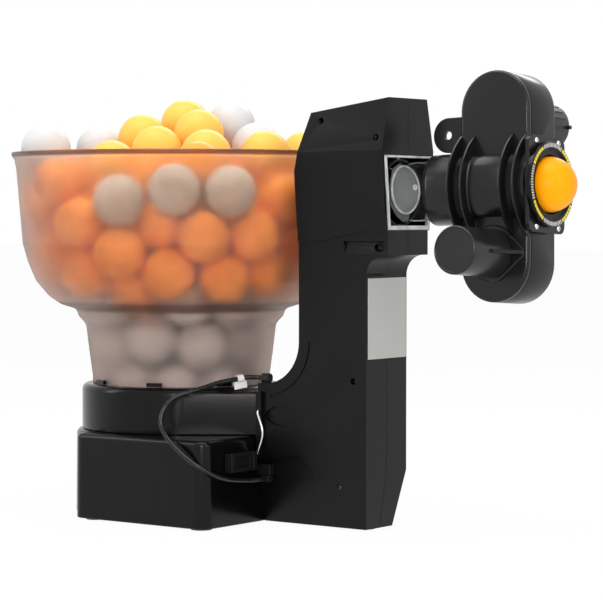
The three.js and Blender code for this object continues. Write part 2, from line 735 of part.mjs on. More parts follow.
// Shelf in the far shell that carries the swing motor
const gearZ = pivotZ + windowHalfHigh + gearLift;
const gearTop = gearZ + gearThick;
const pinionRadius = (gearRadius * pinionTeeth) / gearTeeth;
const pinionX = pivotX - gearRadius - pinionRadius - turnGap;
const shelfLow = gearTop + turnGap;
const shelf = cut(block(pinionX - swingMotorRadius, pinionX + swingMotorRadius, -swingMotorRadius,
  roofHalf, shelfLow, shelfLow + shelfThick),
rodZ(motorShaftRadius + fitGap, shelfLow - overrun, shelfLow + shelfThick + overrun, pinionX, 0, small));
const shelfFoot = block(pinionX - swingMotorRadius, pinionX + swingMotorRadius, roofHalf - upperWall,
  wideHalf - upperWall / 2, shelfLow, shelfLow + shelfThick).intersect(outerHousing.upper);
const nearHalf = block(housingBack, housingAhead, -sideReach, -shellSplit / 2, 0, roofFrontHeight + overrun);
const farHalf = block(housingBack, housingAhead, shellSplit / 2, sideReach, 0, roofFrontHeight + overrun);
place('housing_near_shell', housing.intersect(nearHalf), blackPlastic);
place('housing_far_shell', join(housing.intersect(farHalf), shelf, shelfFoot), blackPlastic);

screwPlaces.forEach(([x, z], index) => {
  place(`housing_screw_${index + 1}`, join(
    rodY(screwHead - fitGap, headSeat - screwHead, headSeat - fitGap / 3, x, z, small),
    rodY(screwShank, headSeat - screwHead / 2, columnHalf / 2, x, z, small)), steel);
});

// Duct that lifts the balls from the drum outlet up the column to the window
class PointPath extends THREE.Curve {
  constructor(points) {
    super();
    this.points = points;
  }

  getPointAt(share) {
    const place = share * (this.points.length - 1);
    const index = Math.min(Math.floor(place), this.points.length - 2);
    return this.points[index].clone().lerp(this.points[index + 1], place - index);
  }

  getTangentAt(share) {
    const index = Math.round(share * (this.points.length - 1));
    const before = this.points[Math.max(index - 1, 0)];
    const after = this.points[Math.min(index + 1, this.points.length - 1)];
    return after.clone().sub(before).normalize();
  }
}

function tubeAlong(extrudePath, steps, sides, radius, bore = 0) {
  const ring = new THREE.Shape().absarc(0, 0, radius, 0, 2 * Math.PI);
  if (bore > 0) {
    ring.holes.push(new THREE.Path().absarc(0, 0, bore, 0, 2 * Math.PI, true));
  }
  return solidOf(new THREE.ExtrudeGeometry(ring, { steps, extrudePath, curveSegments: sides / 2 }));
}

function arcPoints(x, z, radius, from, to, steps) {
  return Array.from({ length: steps + 1 }, (_, index) => {
    const angle = from + ((to - from) * index) / steps;
    return new THREE.Vector3(x + radius * Math.cos(angle), 0, z + radius * Math.sin(angle));
  });
}
const ductPoints = [
  new THREE.Vector3(elbowEnd, 0, ductHeight),
  ...arcPoints(liftX - lowerBend, ductHeight + lowerBend, lowerBend, -Math.PI / 2, 0, 6),
  ...arcPoints(liftX + upperBend, pivotZ - upperBend, upperBend, Math.PI, Math.PI / 2, 6),
  new THREE.Vector3(windowBack - 2 * fitGap, 0, pivotZ),
];
place('ball_duct', tubeAlong(new PointPath(ductPoints), ductPoints.length - 1, coarse, ductRadius, ductBore),
  dutyPlastic);

// Clear window box in front of the duct, open to the head
const windowAhead = upperFront + windowProud;
const windowBox = cut(
  slabYZ(windowPlan(0), windowBack, windowAhead),
  slabYZ(windowPlan(windowWall), windowBack + windowWall, windowAhead + overrun),
  rodX(ductBore, windowBack - overrun, windowAhead, 0, pivotZ),
  rodZ(pinRadius + fitGap, pivotZ - windowHalfHigh - overrun, pivotZ + windowHalfHigh + overrun,
    pivotX, 0, small));
place('clear_window', windowBox, clearPlastic);

// Swing ring on two upright pins in the window box, with the gear sector that drives it
const swingRing = cut(
  rodX(ringRadius, pivotX - swingRingLong / 2, pivotX + swingRingLong / 2, 0, pivotZ),
  rodX(ringBore, pivotX - swingRingLong, pivotX + swingRingLong, 0, pivotZ),
  rodZ(pinRadius + fitGap, pivotZ - 2 * ringRadius, pivotZ + 2 * ringRadius, pivotX, 0, small),
  rodY(pinRadius + fitGap, -2 * ringRadius, 2 * ringRadius, pivotX, pivotZ, small));
place('swing_ring', swingRing, dutyPlastic);
const pinLow = pivotZ - windowHalfHigh - 2 * fitGap;
place('swing_pin', join(
  rodZ(pinRadius, pinLow - pinRadius, pivotZ - ringBore, pivotX, 0, small),
  rodZ(2 * pinRadius, pinLow - pinRadius, pinLow, pivotX, 0, small)), steel);
place('swing_shaft', rodZ(pinRadius, pivotZ + ringBore, gearTop, pivotX, 0, small), steel);

// A gear outline: straight-sided teeth at equal angles, all round or over a sector
function gearShape(radius, teeth, first, count, hub) {
  const pitch = (2 * Math.PI) / teeth;
  const points = Array.from({ length: count }, (_, index) => first + index * pitch)
    .flatMap((angle) => toothShares.map(([turnShare, heightShare]) => {
      const reach = radius + heightShare * toothHigh;
      const turn = angle + turnShare * pitch;
      return [reach * Math.cos(turn), reach * Math.sin(turn)];
    }));
  const back = count < teeth ? [-1, 0, 1].map((step) => {
    const turn = first + ((count - 1) * pitch) / 2 + Math.PI - (step * Math.PI) / 4;
    return [hub * Math.cos(turn), hub * Math.sin(turn)];
  }).reverse() : [];
  return polygon([...points, ...back]);
}
const gearPitch = (2 * Math.PI) / gearTeeth;
const gearHub = 2 * pinRadius + fitGap;
const swingGear = cut(join(
  slabXY(gearShape(gearRadius, gearTeeth, Math.PI - ((sectorTeeth - 1) / 2) * gearPitch, sectorTeeth,
    gearHub), gearZ, gearTop).translate([pivotX, 0, 0]),
  rodZ(gearHub, gearZ, gearTop, pivotX, 0, small)),
rodZ(pinRadius + fitGap, gearZ - overrun, gearTop + overrun, pivotX, 0, small));
place('swing_gear', swingGear, whitePlastic);
const pinionPitch = (2 * Math.PI) / pinionTeeth;
const shelfTop = shelfLow + shelfThick;
const pinion = join(
  slabXY(gearShape(pinionRadius, pinionTeeth, pinionPitch / 2, pinionTeeth, 0), gearZ, gearTop)
    .translate([pinionX, 0, 0]),
  rodZ(motorShaftRadius, gearZ, shelfTop + swingMotorHigh / 3, pinionX, 0, small));
place('swing_pinion', pinion, whitePlastic);
const swingMotor = cut(
  rodZ(swingMotorRadius, shelfTop + fitGap, shelfTop + swingMotorHigh, pinionX, 0, coarse),
  rodZ(motorShaftRadius + fitGap, shelfTop, shelfTop + swingMotorHigh / 2, pinionX, 0, small));
place('swing_motor', swingMotor, steel);

// Swivel cup: a tube through the swing ring, tilting on two cross pins, with a cup in front
const tubeBack = -swingRingLong;
const cupFloor = cupBack + (cupFront - cupBack) / 2;
const noseX = cupBack + cupNose;
const cupOutside = rodX(cupRadius, cupBack, cupFront, 0, 0, fine).intersect(join(
  rodZ(cupNose, -cupRadius - overrun, cupRadius + overrun, noseX, 0, fine),
  block(noseX, cupFront + overrun, -cupRadius - overrun, cupRadius + overrun,
    -cupRadius - overrun, cupRadius + overrun)));
const swivelCup = cut(join(rodX(tubeRadius, tubeBack, cupFloor, 0, 0), cupOutside),
  rodX(headBore, tubeBack - overrun, cupFront, 0, 0),
  rodX(sleeveRadius + turnGap, cupFloor, cupFront + overrun, 0, 0),
  rodY(pinRadius + fitGap, -tubeRadius - overrun, tubeRadius + overrun, 0, 0, small));
place('swivel_cup', swivelCup, headPlastic, tilting);
[['near', -1], ['far', 1]].forEach(([name, side]) => {
  const inner = side * (headBore + fitGap);
  const outer = side * (ringRadius + fitGap);
  const capEnd = outer + (side * pinRadius) / 4;
  place(`tilt_pin_${name}`, join(
    rodY(pinRadius, Math.min(inner, capEnd), Math.max(inner, capEnd), 0, 0, small),
    rodY(2 * pinRadius, Math.min(outer, capEnd), Math.max(outer, capEnd), 0, 0, small)), steel, tilting);
});

// Head case: two shells of an upright box with round ends, on a sleeve that turns in the cup
const caseOutline = (inset) => stadium(caseX, caseHalfWide - inset, caseHalfHigh - inset);
const headHole = rodX(headBore, caseBack - overrun, ringFront + overrun, 0, 0);
place('roll_sleeve', cut(rodX(sleeveRadius, cupFloor + turnGap, caseBack - fitGap, 0, 0),
  rodX(headBore, cupFloor, caseBack, 0, 0)), headPlastic, head);

const barrel = new THREE.Shape();
barrel.absellipse(caseNear, 0, barrelProud, barrelHalfHigh, 0, 2 * Math.PI, false, 0);
const finRadius = (finHalfHigh ** 2 + finProud ** 2) / (2 * finProud);
const finStarts = [caseBack, caseBack + finStep, caseFront - finThick - finStep, caseFront - finThick];
const fins = finStarts.map((x) => rodX(finRadius, x, x + finThick, caseNear - finProud + finRadius, 0, fine));
const beforeCase = block(caseBack, caseFront, caseNear - 2 * finProud, caseNear + caseWall / 2,
  -caseHalfHigh, caseHalfHigh);
const motorBoss = new THREE.Shape();
const bossRadius = motorRadius + bossThick;
motorBoss.absarc(caseX, -motorZ, bossRadius, Math.PI / 3, 1.6 * Math.PI);
motorBoss.lineTo(caseFront - caseWall, -motorZ - bossThick);
motorBoss.lineTo(caseFront - caseWall, -motorZ + bossThick);
const guideX = caseX + motorRadius + fitGap;
const leadGuide = block(guideX, guideX + bossThick, leadGuideNear, caseNear - bossThick / 2,
  -motorZ - bossThick / 2, -motorZ + bossThick / 2);
const shaftRoom = motorShaftRadius + fitGap;
const nearShell = cut(
  join(
    cut(slabXZ(caseOutline(0), caseNear, caseSeam - shellSplit / 2, small),
      slabXZ(caseOutline(caseWall), caseNear + caseWall, caseSeam, small)),
    join(slabYZ(barrel, caseBack, caseFront, small), ...fins).intersect(beforeCase),
    slabXZ(motorBoss, caseNear - bossThick, caseNear + caseWall / 2, small), leadGuide),
  headHole, rodY(shaftRoom, caseNear - 2 * bossThick, caseSeam, caseX, -wheelOffset, small));
place('head_near_shell', nearShell, headPlastic, head);

const earX = caseBack - earReach + (earHigh - earLow) / 2;
const earZ = (earLow + earHigh) / 2;
const ear = new THREE.Shape();
ear.absarc(earX, earZ, (earHigh - earLow) / 2, Math.PI / 2, 1.5 * Math.PI);
ear.lineTo(caseBack + caseWall / 2, earLow);
ear.lineTo(caseBack + caseWall / 2, earHigh);
const farShell = cut(
  join(cut(slabXZ(caseOutline(0), caseSeam + shellSplit / 2, caseFar, small),
    slabXZ(caseOutline(caseWall), caseSeam, caseFar - caseWall, small)),
  slabXZ(ear, earY, earY + earThick)),
  headHole, rodY(earHole, earY - overrun, earY + 2 * earThick, earX, earZ, coarse),
  rodY(shaftRoom, 0, caseFar + overrun, caseX, wheelOffset, small));
place('head_far_shell', farShell, headPlastic, head);

// Two throwing wheels, each on the shaft of its own motor: the upper motor behind, the lower in front.
// The shaft leaves each motor's case off its middle.
function throwingWheel(name, z, motorFrom, motorTo, shaftInside) {
  const half = wheelThick / 2;
  const hubRadius = wheelRadius - tyreThick;
  const tyre = cut(rodY(wheelRadius, -half, half, caseX, z, medium),
    rodY(hubRadius, -half - overrun, half + overrun, caseX, z, medium));
  place(`${name}_tyre`, tyre, foamGrey, head);
  const hub = cut(rodY(hubRadius - fitGap, -half, half, caseX, z, medium),
    rodY(shaftRoom, -half - overrun, half + overrun, caseX, z, small));
  place(`${name}_wheel_hub`, hub, dutyPlastic, head);
  const side = Math.sign(motorTo);
  const shaft = [-side * half, motorFrom + side * shaftInside].sort((a, b) => a - b);
  place(`${name}_motor_shaft`, rodY(motorShaftRadius, shaft[0], shaft[1], caseX, z, small), steel, head);
  const can = [motorFrom, motorTo].sort((a, b) => a - b);
  const hole = [motorFrom - side * overrun, motorFrom + side * (shaftInside + fitGap)].sort((a, b) => a - b);
  const motor = cut(rodY(motorRadius, can[0], can[1], caseX, Math.sign(z) * motorZ, medium),
    rodY(shaftRoom, hole[0], hole[1], caseX, z, small));
  place(`${name}_motor`, motor, blackPlastic, head);
}
const shaftSeat = 2 * bossThick;
throwingWheel('upper', wheelOffset, caseFar + fitGap, motorFarEnd, shaftSeat);
throwingWheel('lower', -wheelOffset, caseNear - bossThick - fitGap, motorNearEnd, shaftSeat);

// Mouth: a collar and screwed plate, with the scale ring in front
const collarBack = caseFront + fitGap;
const plateBack = collarBack + collarLong;
const plateFront = plateBack + mouthPlateThick;
const mouthScrewPlaces = [-1, 1].flatMap((sy) => [-1, 1].map((sz) => [sy * mouthScrewY, sz * mouthScrewZ]));
const mouthPlate = cut(join(rodX(collarRadius, collarBack, plateBack, 0, 0),
  slabYZ(roundedRect(-mouthPlateHalfWide, mouthPlateHalfWide, -mouthPlateHalfHigh, mouthPlateHalfHigh,
    mouthPlateCorner), plateBack, plateFront)), headHole,
...mouthScrewPlaces.map(([y, z]) => rodX(screwShank + fitGap, plateBack - overrun, plateFront + overrun, y, z,
  small)));
place('mouth_plate', mouthPlate, headPlastic, head);
mouthScrewPlaces.forEach(([y, z], index) => {
  place(`mouth_screw_${index + 1}`, join(
    rodX(screwShank, plateBack + fitGap, plateFront + screwShank, y, z, small),
    rodX(smallScrewHead, plateFront + fitGap / 3, plateFront + screwShank, y, z, small)), steel, head);
});
place('mouth_ring', cut(rodX(ringOuter, plateFront + fitGap, ringFront, 0, 0, fine),
  rodX(ringInner, plateFront, ringFront + overrun, 0, 0, fine)), blackPlastic, head);

// Bare label plate on the front of the column
const labelHalf = columnHalf - labelMargin;
const labelHigh = throatStart - labelDrop;
place('label_plate', block(columnFront + fitGap / 3, columnFront + labelThick, -labelHalf, labelHalf,
  labelHigh - labelLong, labelHigh), silverPlate);

// Sockets: a covered one on the front of the block, a small one on the side of the elbow
const socketX = blockFront + fitGap;
const socketFar = -columnHalf - socketSetOff;
const socketNear = socketFar - socketWide;
const socketHigh = blockHeight - socketDrop;
const socketLow = socketHigh - socketTall;
const mainSocket = cut(block(socketX, socketX + socketDeep, socketNear, socketFar, socketLow, socketHigh),
  block(socketX + socketDeep / 2, socketX + socketDeep + overrun, socketNear + 2 * blockWall,
    socketFar - 2 * blockWall, socketLow + blockWall, socketHigh - blockWall));
place('power_socket', mainSocket, dutyPlastic);
const elbowFace = -(columnHalf - skirtSetBack);
const plugSocketFar = elbowFace - fitGap;
const plugSocketNear = plugSocketFar - plugSocketDeep;
const plugSocketBack = elbowEnd + plugSocketSetOff;
const plugSocketFront = plugSocketBack + plugSocketLong;
const plugSocketLow = flangeLow - plugSocketDrop;
const plugSocketHigh = plugSocketLow + plugSocketTall;
place('lead_socket', block(plugSocketBack, plugSocketFront, plugSocketNear, plugSocketFar,
  plugSocketLow, plugSocketHigh), dutyPlastic);

// Gland on the elbow, and the short lead from it to the plug on the small socket
const glandX0 = elbowEnd + 2 * fitGap;
const glandX1 = glandX0 + 2 * glandRadius;
const glandY = -columnHalf + 1.5 * glandRadius;
const glandZ = elbowTop + glandRadius + fitGap;
const glandFoot = block(glandX0, glandX1, glandY - cordRadius, glandY + cordRadius,
  elbowTop + fitGap / 3, glandZ);
place('lead_gland', join(rodX(glandRadius, glandX0, glandX1, glandY, glandZ, small), glandFoot), rubberBlack);
const plugTop = plugSocketLow - fitGap;
const plugZ = plugTop - plugHigh / 2;
const plugX = plugSocketFront - plugWide / 3;
const plugNear = plugSocketNear - plugDeep / 2;
const leadPoints = [
  [glandX0 - fitGap, glandY, glandZ], ...leadRoute, [plugX, plugNear - 2 * fitGap, plugZ],
].map(([x, y, z]) => new THREE.Vector3(x, y, z));
const leadCurve = new THREE.CatmullRomCurve3(leadPoints, false, 'centripetal');
place('sensor_lead', tubeAlong(leadCurve, leadSteps, cordSides, cordRadius), rubberBlack);
place('lead_plug', block(plugX - plugWide / 2, plugX + plugWide / 2, plugNear, plugNear + plugDeep,
  plugTop - plugHigh, plugTop), dutyPlastic);

// White tag on the lead: a sleeve with a flag below it
const tagWay = leadCurve.getTangentAt(tagShare);
const tagMiddle = leadCurve.getPointAt(tagShare);
const tagTurn = new THREE.Matrix4().makeRotationZ(Math.atan2(tagWay.y, tagWay.x));
const tagTilt = new THREE.Matrix4().makeRotationY(-Math.atan2(tagWay.z, Math.hypot(tagWay.x, tagWay.y)));
const tagSleeve = cordRadius + fitGap + tagThick;
const tagFlag = new THREE.BoxGeometry(tagLong, tagThick, tagHigh).translate(0, 0, -tagSleeve - tagHigh / 2
  + tagThick / 2);
const tag = cut(join(rodX(tagSleeve, -tagLong / 4, tagLong / 4, 0, 0, small), solidOf(tagFlag)),
  rodX(cordRadius + fitGap, -tagLong, tagLong, 0, 0, small));
place('lead_tag', tag.transform(tagTurn.multiply(tagTilt).setPosition(tagMiddle).toArray()), whitePlastic);

// Bright wire latch, sprung between two holes in the near face of the flange
const latchX = elbowEnd + flangeThick / 2;
const latchOut = -flangeHalf - 2 * wireRadius;
const latchPoints = [
  [latchX, -columnHalf, latchHigh], [latchX, -flangeHalf, latchHigh], [latchX + wireRadius, latchOut, latchHigh
    - 2 * wireRadius], [latchX + latchBow, latchOut - wireRadius, (latchLow + latchHigh) / 2],
  [latchX + wireRadius, latchOut, latchLow + 2 * wireRadius], [latchX, -flangeHalf, latchLow],
  [latchX, -columnHalf, latchLow],
].map(([x, y, z]) => new THREE.Vector3(x, y, z));
place('wire_latch', tubeAlong(new THREE.CatmullRomCurve3(latchPoints, false, 'centripetal'), leadSteps / 2,
  cordSides, wireRadius), steel);

export default robot;
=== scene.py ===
# %% [markdown]
# # A table tennis robot
# This machine stands on a table and throws balls. A smoky plastic hopper holds them, a drum
# below it hands them on one by one, a hollow column lifts them, and two wheels in a head on a
# swivel throw them out. The solid model of the robot is already made and fixed, so this lesson
# only dresses it: each piece gets its real roundings, finish and small parts, in metres.

# %% Load the fixed frame
import json
import math

import bmesh
import bpy
import numpy as np
from mathutils import Matrix, Vector

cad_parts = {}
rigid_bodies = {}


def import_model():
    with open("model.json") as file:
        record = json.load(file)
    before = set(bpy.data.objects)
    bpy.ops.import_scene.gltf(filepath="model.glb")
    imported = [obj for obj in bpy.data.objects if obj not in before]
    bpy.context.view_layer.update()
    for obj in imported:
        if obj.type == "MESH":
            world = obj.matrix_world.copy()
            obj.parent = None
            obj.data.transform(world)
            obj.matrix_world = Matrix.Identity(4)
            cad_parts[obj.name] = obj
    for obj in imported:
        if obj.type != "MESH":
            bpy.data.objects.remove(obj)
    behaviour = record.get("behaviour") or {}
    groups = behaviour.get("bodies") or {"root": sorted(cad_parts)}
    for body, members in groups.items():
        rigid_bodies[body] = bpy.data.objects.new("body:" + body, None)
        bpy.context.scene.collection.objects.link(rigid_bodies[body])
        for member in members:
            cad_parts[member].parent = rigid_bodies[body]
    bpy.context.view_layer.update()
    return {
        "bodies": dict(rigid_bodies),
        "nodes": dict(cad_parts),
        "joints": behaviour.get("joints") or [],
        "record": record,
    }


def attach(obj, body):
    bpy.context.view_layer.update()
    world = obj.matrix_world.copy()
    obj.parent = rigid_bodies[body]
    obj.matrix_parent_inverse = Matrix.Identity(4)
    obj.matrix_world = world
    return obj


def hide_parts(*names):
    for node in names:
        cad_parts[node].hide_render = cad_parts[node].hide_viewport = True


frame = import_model()
nodes = frame["nodes"]

# %% [markdown]
# ## Places
# The maker's drawing gives sizes in millimetres from the foot of the column, and for the head
# from the pin that it swings on. Small functions turn such a size into a place in metres, so
# that every later number can be read off the drawing.

# %% Places in the column's, the drum's and the head's own sizes
MM = 0.001
COLUMN_X = 64.593
DRUM_X = -170
PIVOT = Vector((40 + COLUMN_X, 0, 254)) * MM
TILT = Matrix.Translation(PIVOT) @ Matrix.Rotation(math.radians(-2.3), 4, "Y")
HEAD = TILT @ Matrix.Rotation(math.radians(-3.5), 4, "X")


def shifted(place, x=0.0, y=0.0, z=0.0):
    """A place moved by mm along its own axes."""
    return place @ Matrix.Translation(Vector((x, y, z)) * MM)


STAND = shifted(Matrix.Identity(4), COLUMN_X)
DRUM = shifted(STAND, DRUM_X)


def spot(x, y, z, place=STAND):
    """A place in mm from the foot of the column, or from another place, in metres."""
    return place @ (Vector((x, y, z)) * MM)


def in_scene(name, data):
    """A new object at the origin of the scene."""
    made = bpy.data.objects.new(name, data)
    bpy.context.scene.collection.objects.link(made)
    return made


print("swing pin", [round(c, 4) for c in PIVOT], "top of the drum", spot(DRUM_X, 0, 104)[:])

# %% [markdown]
# ## Camera
# The photograph was taken from the front right and a little above. The camera stands where
# measured edges of the column and the hopper fall on the same pixels as in the photograph.

# %% Camera
EYE = (1057.447, -1480.048, 239.019)
EYE_TURN, EYE_DIP = math.radians(36.8), math.atan(87 / 2400)
LENS, SENSOR = 143.28, 36


def look(turn, dip):
    """Three axes of a camera that is turned about the upright and dips below the horizon."""
    back = Vector((math.sin(turn) * math.cos(dip), -math.cos(turn) * math.cos(dip), math.sin(dip)))
    right = Vector((math.cos(turn), math.sin(turn), 0))
    return Matrix((right, back.cross(right), back)).transposed().to_4x4()


camera = in_scene("camera", bpy.data.cameras.new("camera"))
camera.matrix_world = Matrix.Translation(spot(*EYE)) @ look(EYE_TURN, EYE_DIP)
camera.data.sensor_fit = "HORIZONTAL"
camera.data.sensor_width = SENSOR
camera.data.lens = LENS
bpy.context.scene.camera = camera
print("camera at", [round(c, 3) for c in camera.location])

# %% [markdown]
# ## Lead
# A short black lead leaves a gland on the elbow of the column, hangs in a loop in front of the
# drum and the block, and ends in a small plug. It could be drawn freely, but the solid model
# has its own route, so the curve runs through the same points. The curve is the smooth one
# that passes through every point and whose speed follows the distance between them, because it
# makes no loops between close points.

# %% Smooth way through points
def smooth_way(points, steps):
    """Points of a centripetal Catmull-Rom curve through the given ones."""
    known = [Vector(p) for p in points]
    known = [2 * known[0] - known[1]] + known + [2 * known[-1] - known[-2]]
    way = []
    for i in range(1, len(known) - 2):
        p0, p1, p2, p3 = known[i - 1:i + 3]
        d0, d1, d2 = [max((b - a).length, 1e-9) ** 0.5 for a, b in ((p0, p1), (p1, p2), (p2, p3))]
        t1 = ((p1 - p0) / d0 - (p2 - p0) / (d0 + d1) + (p2 - p1) / d1) * d1
        t2 = ((p2 - p1) / d1 - (p3 - p1) / (d1 + d2) + (p3 - p2) / d2) * d1
        for k in range(steps):
            t = k / steps
            way.append(p1 * (2 * t**3 - 3 * t**2 + 1) + t1 * (t**3 - 2 * t**2 + t)
                       + p2 * (3 * t**2 - 2 * t**3) + t2 * (t**3 - t**2))
    return way + [known[-2]]


def way_length(way):
    return sum((b - a).length for a, b in zip(way, way[1:]))


LEAD_ROUTE = [
    (-71.4, -21.1, 112.4), (-74.5, -21.1, 112.4), (-81, -28, 112.6), (-86.5, -40, 110.9),
    (-91.4, -51, 109.1), (-95.3, -62, 106.2), (-98.9, -72, 103.7), (-102.7, -80.5, 101.7),
    (-106.2, -87.5, 98.4), (-108.8, -92.5, 92.9), (-110.4, -95.6, 85.4), (-109.8, -96.6, 78.7),
    (-105.5, -97, 71.8), (-96.1, -97, 63.1), (-82.5, -96, 53.5), (-74, -92, 47.8), (-69, -84, 42.6),
    (-66.5, -72, 38.8), (-65, -59, 37), (-63, -47.5, 36), (-60.4, -39.2, 35.9), (-59.333, -34.7, 35.9),
]
LEAD_THICK = 3.6
lead_way = smooth_way([spot(*p) for p in LEAD_ROUTE], 6)
print("lead", round(way_length(lead_way), 4), "m long")

# %% Tube along a way
def tube_along(name, way, radius):
    """A round curve object that follows the points of a way."""
    data = bpy.data.curves.new(name, "CURVE")
    data.dimensions = "3D"
    data.bevel_depth = radius
    data.bevel_resolution = 3
    data.use_fill_caps = True
    spline = data.splines.new("POLY")
    spline.points.add(len(way) - 1)
    for point, place in zip(spline.points, way):
        point.co = (*place, 1)
    spline.use_smooth = True
    return in_scene(name, data)


lead = tube_along("lead", lead_way, LEAD_THICK / 2 * MM)
print(len(lead.data.splines[0].points), "points on the lead")

# %% [markdown]
# ## Node trees
# Finishes, the light around the robot and all that repeats are node trees. Each node is made in
# one step from its type, the values or links of its sockets, and its settings. The settings come
# first, because some of them change which sockets a node has.

# %% Making nodes
def put(socket, value):
    """Gives a socket a plain value, or links it to another socket."""
    value = getattr(value, "socket", value)
    if isinstance(value, bpy.types.NodeSocket):
        socket.id_data.links.new(value, socket)
    elif socket.type == "RGBA" and len(value) == 3:
        socket.default_value = (*value, 1)
    else:
        socket.default_value = value


class Tree:
    """A node tree that makes each node in one step."""

    def __init__(self, tree):
        self.tree = tree

    def node(self, kind, inputs=None, **settings):
        made = self.tree.nodes.new(kind)
        for key, value in settings.items():
            setattr(made, key, value)
        for key, value in (inputs or {}).items():
            put(made.inputs[key], value)
        return made

    def out(self, kind, inputs=None, **settings):
        """The first output of a new node."""
        return self.node(kind, inputs, **settings).outputs[0]


print("node trees are ready")

# %% [markdown]
# ## Finishes: sums on a surface
# A finish varies over its surface, and that takes long chains of small Math nodes. They are
# easier to read as sums, so one small class wraps a value of the surface and turns each sum
# written with it into a Math node. A second class holds one finish, its shader and its bump.

# %% Values on a surface
class Amount:
    """A number that changes over a surface; sums written with it become Math nodes."""

    def __init__(self, finish, socket):
        self.finish, self.socket = finish, socket

    def sum(self, operation, *terms, clamp=False):
        return self.finish.amount("ShaderNodeMath", dict(enumerate(terms)), operation=operation,
                                  use_clamp=clamp)

    def __add__(self, other):
        return self.sum("ADD", self, other)

    __radd__ = __add__

    def __rsub__(self, other):
        return self.sum("SUBTRACT", other, self)

    def __mul__(self, other):
        return self.sum("MULTIPLY", self, other)

    __rmul__ = __mul__

    def size(self):
        return self.sum("ABSOLUTE", self)

    def rise(self, low, high):
        """0 below low, 1 above high, smooth between."""
        return self.finish.amount("ShaderNodeMapRange", {"Value": self, "From Min": low, "From Max": high},
                                  interpolation_type="SMOOTHSTEP")

    def between(self, low, high, soft):
        return self.rise(low - soft, low + soft) * (1 - self.rise(high - soft, high + soft))


print("sums become Math nodes")

# %% One finish
class Finish(Tree):
    """A named finish: its Principled shader and what varies on it."""

    def __init__(self, name, shade, roughness, **plain):
        self.material = bpy.data.materials.new(name)
        self.material.use_nodes = True
        super().__init__(self.material.node_tree)
        self.shader = self.tree.nodes["Principled BSDF"]
        self.feed("Base Color", shade)
        self.feed("Roughness", roughness)
        for label, value in plain.items():
            self.feed(label.replace("_", " "), value)
        self.places = self.amount("ShaderNodeTexCoord", output="Object")

    def feed(self, label, value):
        put(self.shader.inputs[label], value)

    def end(self, label, value):
        put(self.tree.nodes["Material Output"].inputs[label], value)

    def amount(self, kind, inputs=None, output=0, **settings):
        """An output of a new node, ready for sums."""
        return Amount(self, self.node(kind, inputs, **settings).outputs[output])

    def stretched(self, scale):
        """The places on the piece, stretched along its axes."""
        return self.amount("ShaderNodeMapping", {"Vector": self.places, "Scale": scale})

    def noise(self, scale, detail=2, places=None):
        return self.amount("ShaderNodeTexNoise", {"Vector": places or self.places, "Scale": scale,
                                                  "Detail": detail})

    def mix(self, one, two, share):
        """Colour one where share is 0 and colour two where it is 1."""
        return self.amount("ShaderNodeMix", {0: share, 6: one, 7: two}, output=2, data_type="RGBA")

    def paint(self, one, two, share):
        self.feed("Base Color", self.mix(one, two, share))

    def bump(self, height, distance, strength=1.0):
        self.feed("Normal", self.amount("ShaderNodeBump", {"Height": height, "Distance": distance,
                                                           "Strength": strength}))


def grey(level):
    return (level, level, level)


def times(shade, factor, more=0.0):
    """A colour made brighter or darker."""
    return tuple(c * factor + more for c in shade)


print("finishes can be made")

# %% [markdown]
# ## Black plastic
# Nearly everything is moulded in black plastic. Its colour could be one dark value, but a real
# moulding has a fine etched grain, and slow changes of gloss where hands and the mould
# polished it. Fine noise gives the grain as a bump, and slow noise shifts shade and gloss.

# %% Moulded plastics
def moulded(name, shade, roughness, grain=0.00003, cloud=0.12, **plain):
    """Moulded plastic with an etched grain and slightly uneven gloss."""
    finish = Finish(name, shade, roughness, **plain)
    slow, fine = finish.noise(26, 3), finish.noise(2600)
    finish.paint(times(shade, 1 - cloud), times(shade, 1 + cloud), slow.rise(0.3, 0.7))
    finish.feed("Roughness", roughness - 0.06 + 0.08 * slow + 0.06 * fine)
    finish.bump(fine, grain, 0.5)
    return finish.material


BLACK = moulded("black_plastic", grey(0.002), 0.2, Specular_IOR_Level=0.19)
HOUSING = moulded("housing_plastic", grey(0.0025), 0.3, Specular_IOR_Level=0.18)
HEAD_BLACK = moulded("head_plastic", grey(0.007), 0.2, Specular_IOR_Level=0.29)
INNER = moulded("inner_plastic", (0.012, 0.013, 0.014), 0.45, Specular_IOR_Level=0.3)
SOCKET = moulded("socket_plastic", grey(0.007), 0.3, Specular_IOR_Level=0.3)
MOTOR = moulded("motor_paint", grey(0.012), 0.24, grain=0.00002, Specular_IOR_Level=0.3)
PORT = moulded("port_plastic", grey(0.17), 0.25, cloud=0.2)
WHITE = moulded("white_plastic", grey(0.72), 0.42, cloud=0.03)
YELLOW = moulded("yellow_print", (0.75, 0.62, 0.05), 0.5, cloud=0.05)
print("moulded plastics:", BLACK.name, HOUSING.name, HEAD_BLACK.name, INNER.name, MOTOR.name)

# %% [markdown]
# ## Rubber, foam and metal
# Rubber is duller than plastic and a little dusty. The wheels wear foam tyres with open pores.
# The rest is simpler: one noise, stretched where the metal is drawn or turned, runs between two
# colours and shifts gloss and relief with them.

# %% Rubber, foam, metals, board and misty plastics
def rubbery(name, shade, roughness):
    finish = Finish(name, shade, roughness, Specular_IOR_Level=0.4)
    dust = finish.noise(300, 4)
    finish.paint(shade, times(shade, 2, 0.002), dust.rise(0.5, 0.8))
    finish.feed("Roughness", roughness - 0.1 + 0.2 * dust)
    finish.bump(finish.noise(1500), 0.00003, 0.6)
    return finish.material


def foam(name, shade):
    finish = Finish(name, shade, 0.9)
    pores = finish.amount("ShaderNodeTexVoronoi", {"Vector": finish.places, "Scale": 900})
    # Painted shade: the open pores are drawn darker, as the shade inside them.
    finish.paint(times(shade, 0.5), shade, pores.rise(0.1, 0.4))
    finish.bump(pores, 0.0002)
    return finish.material


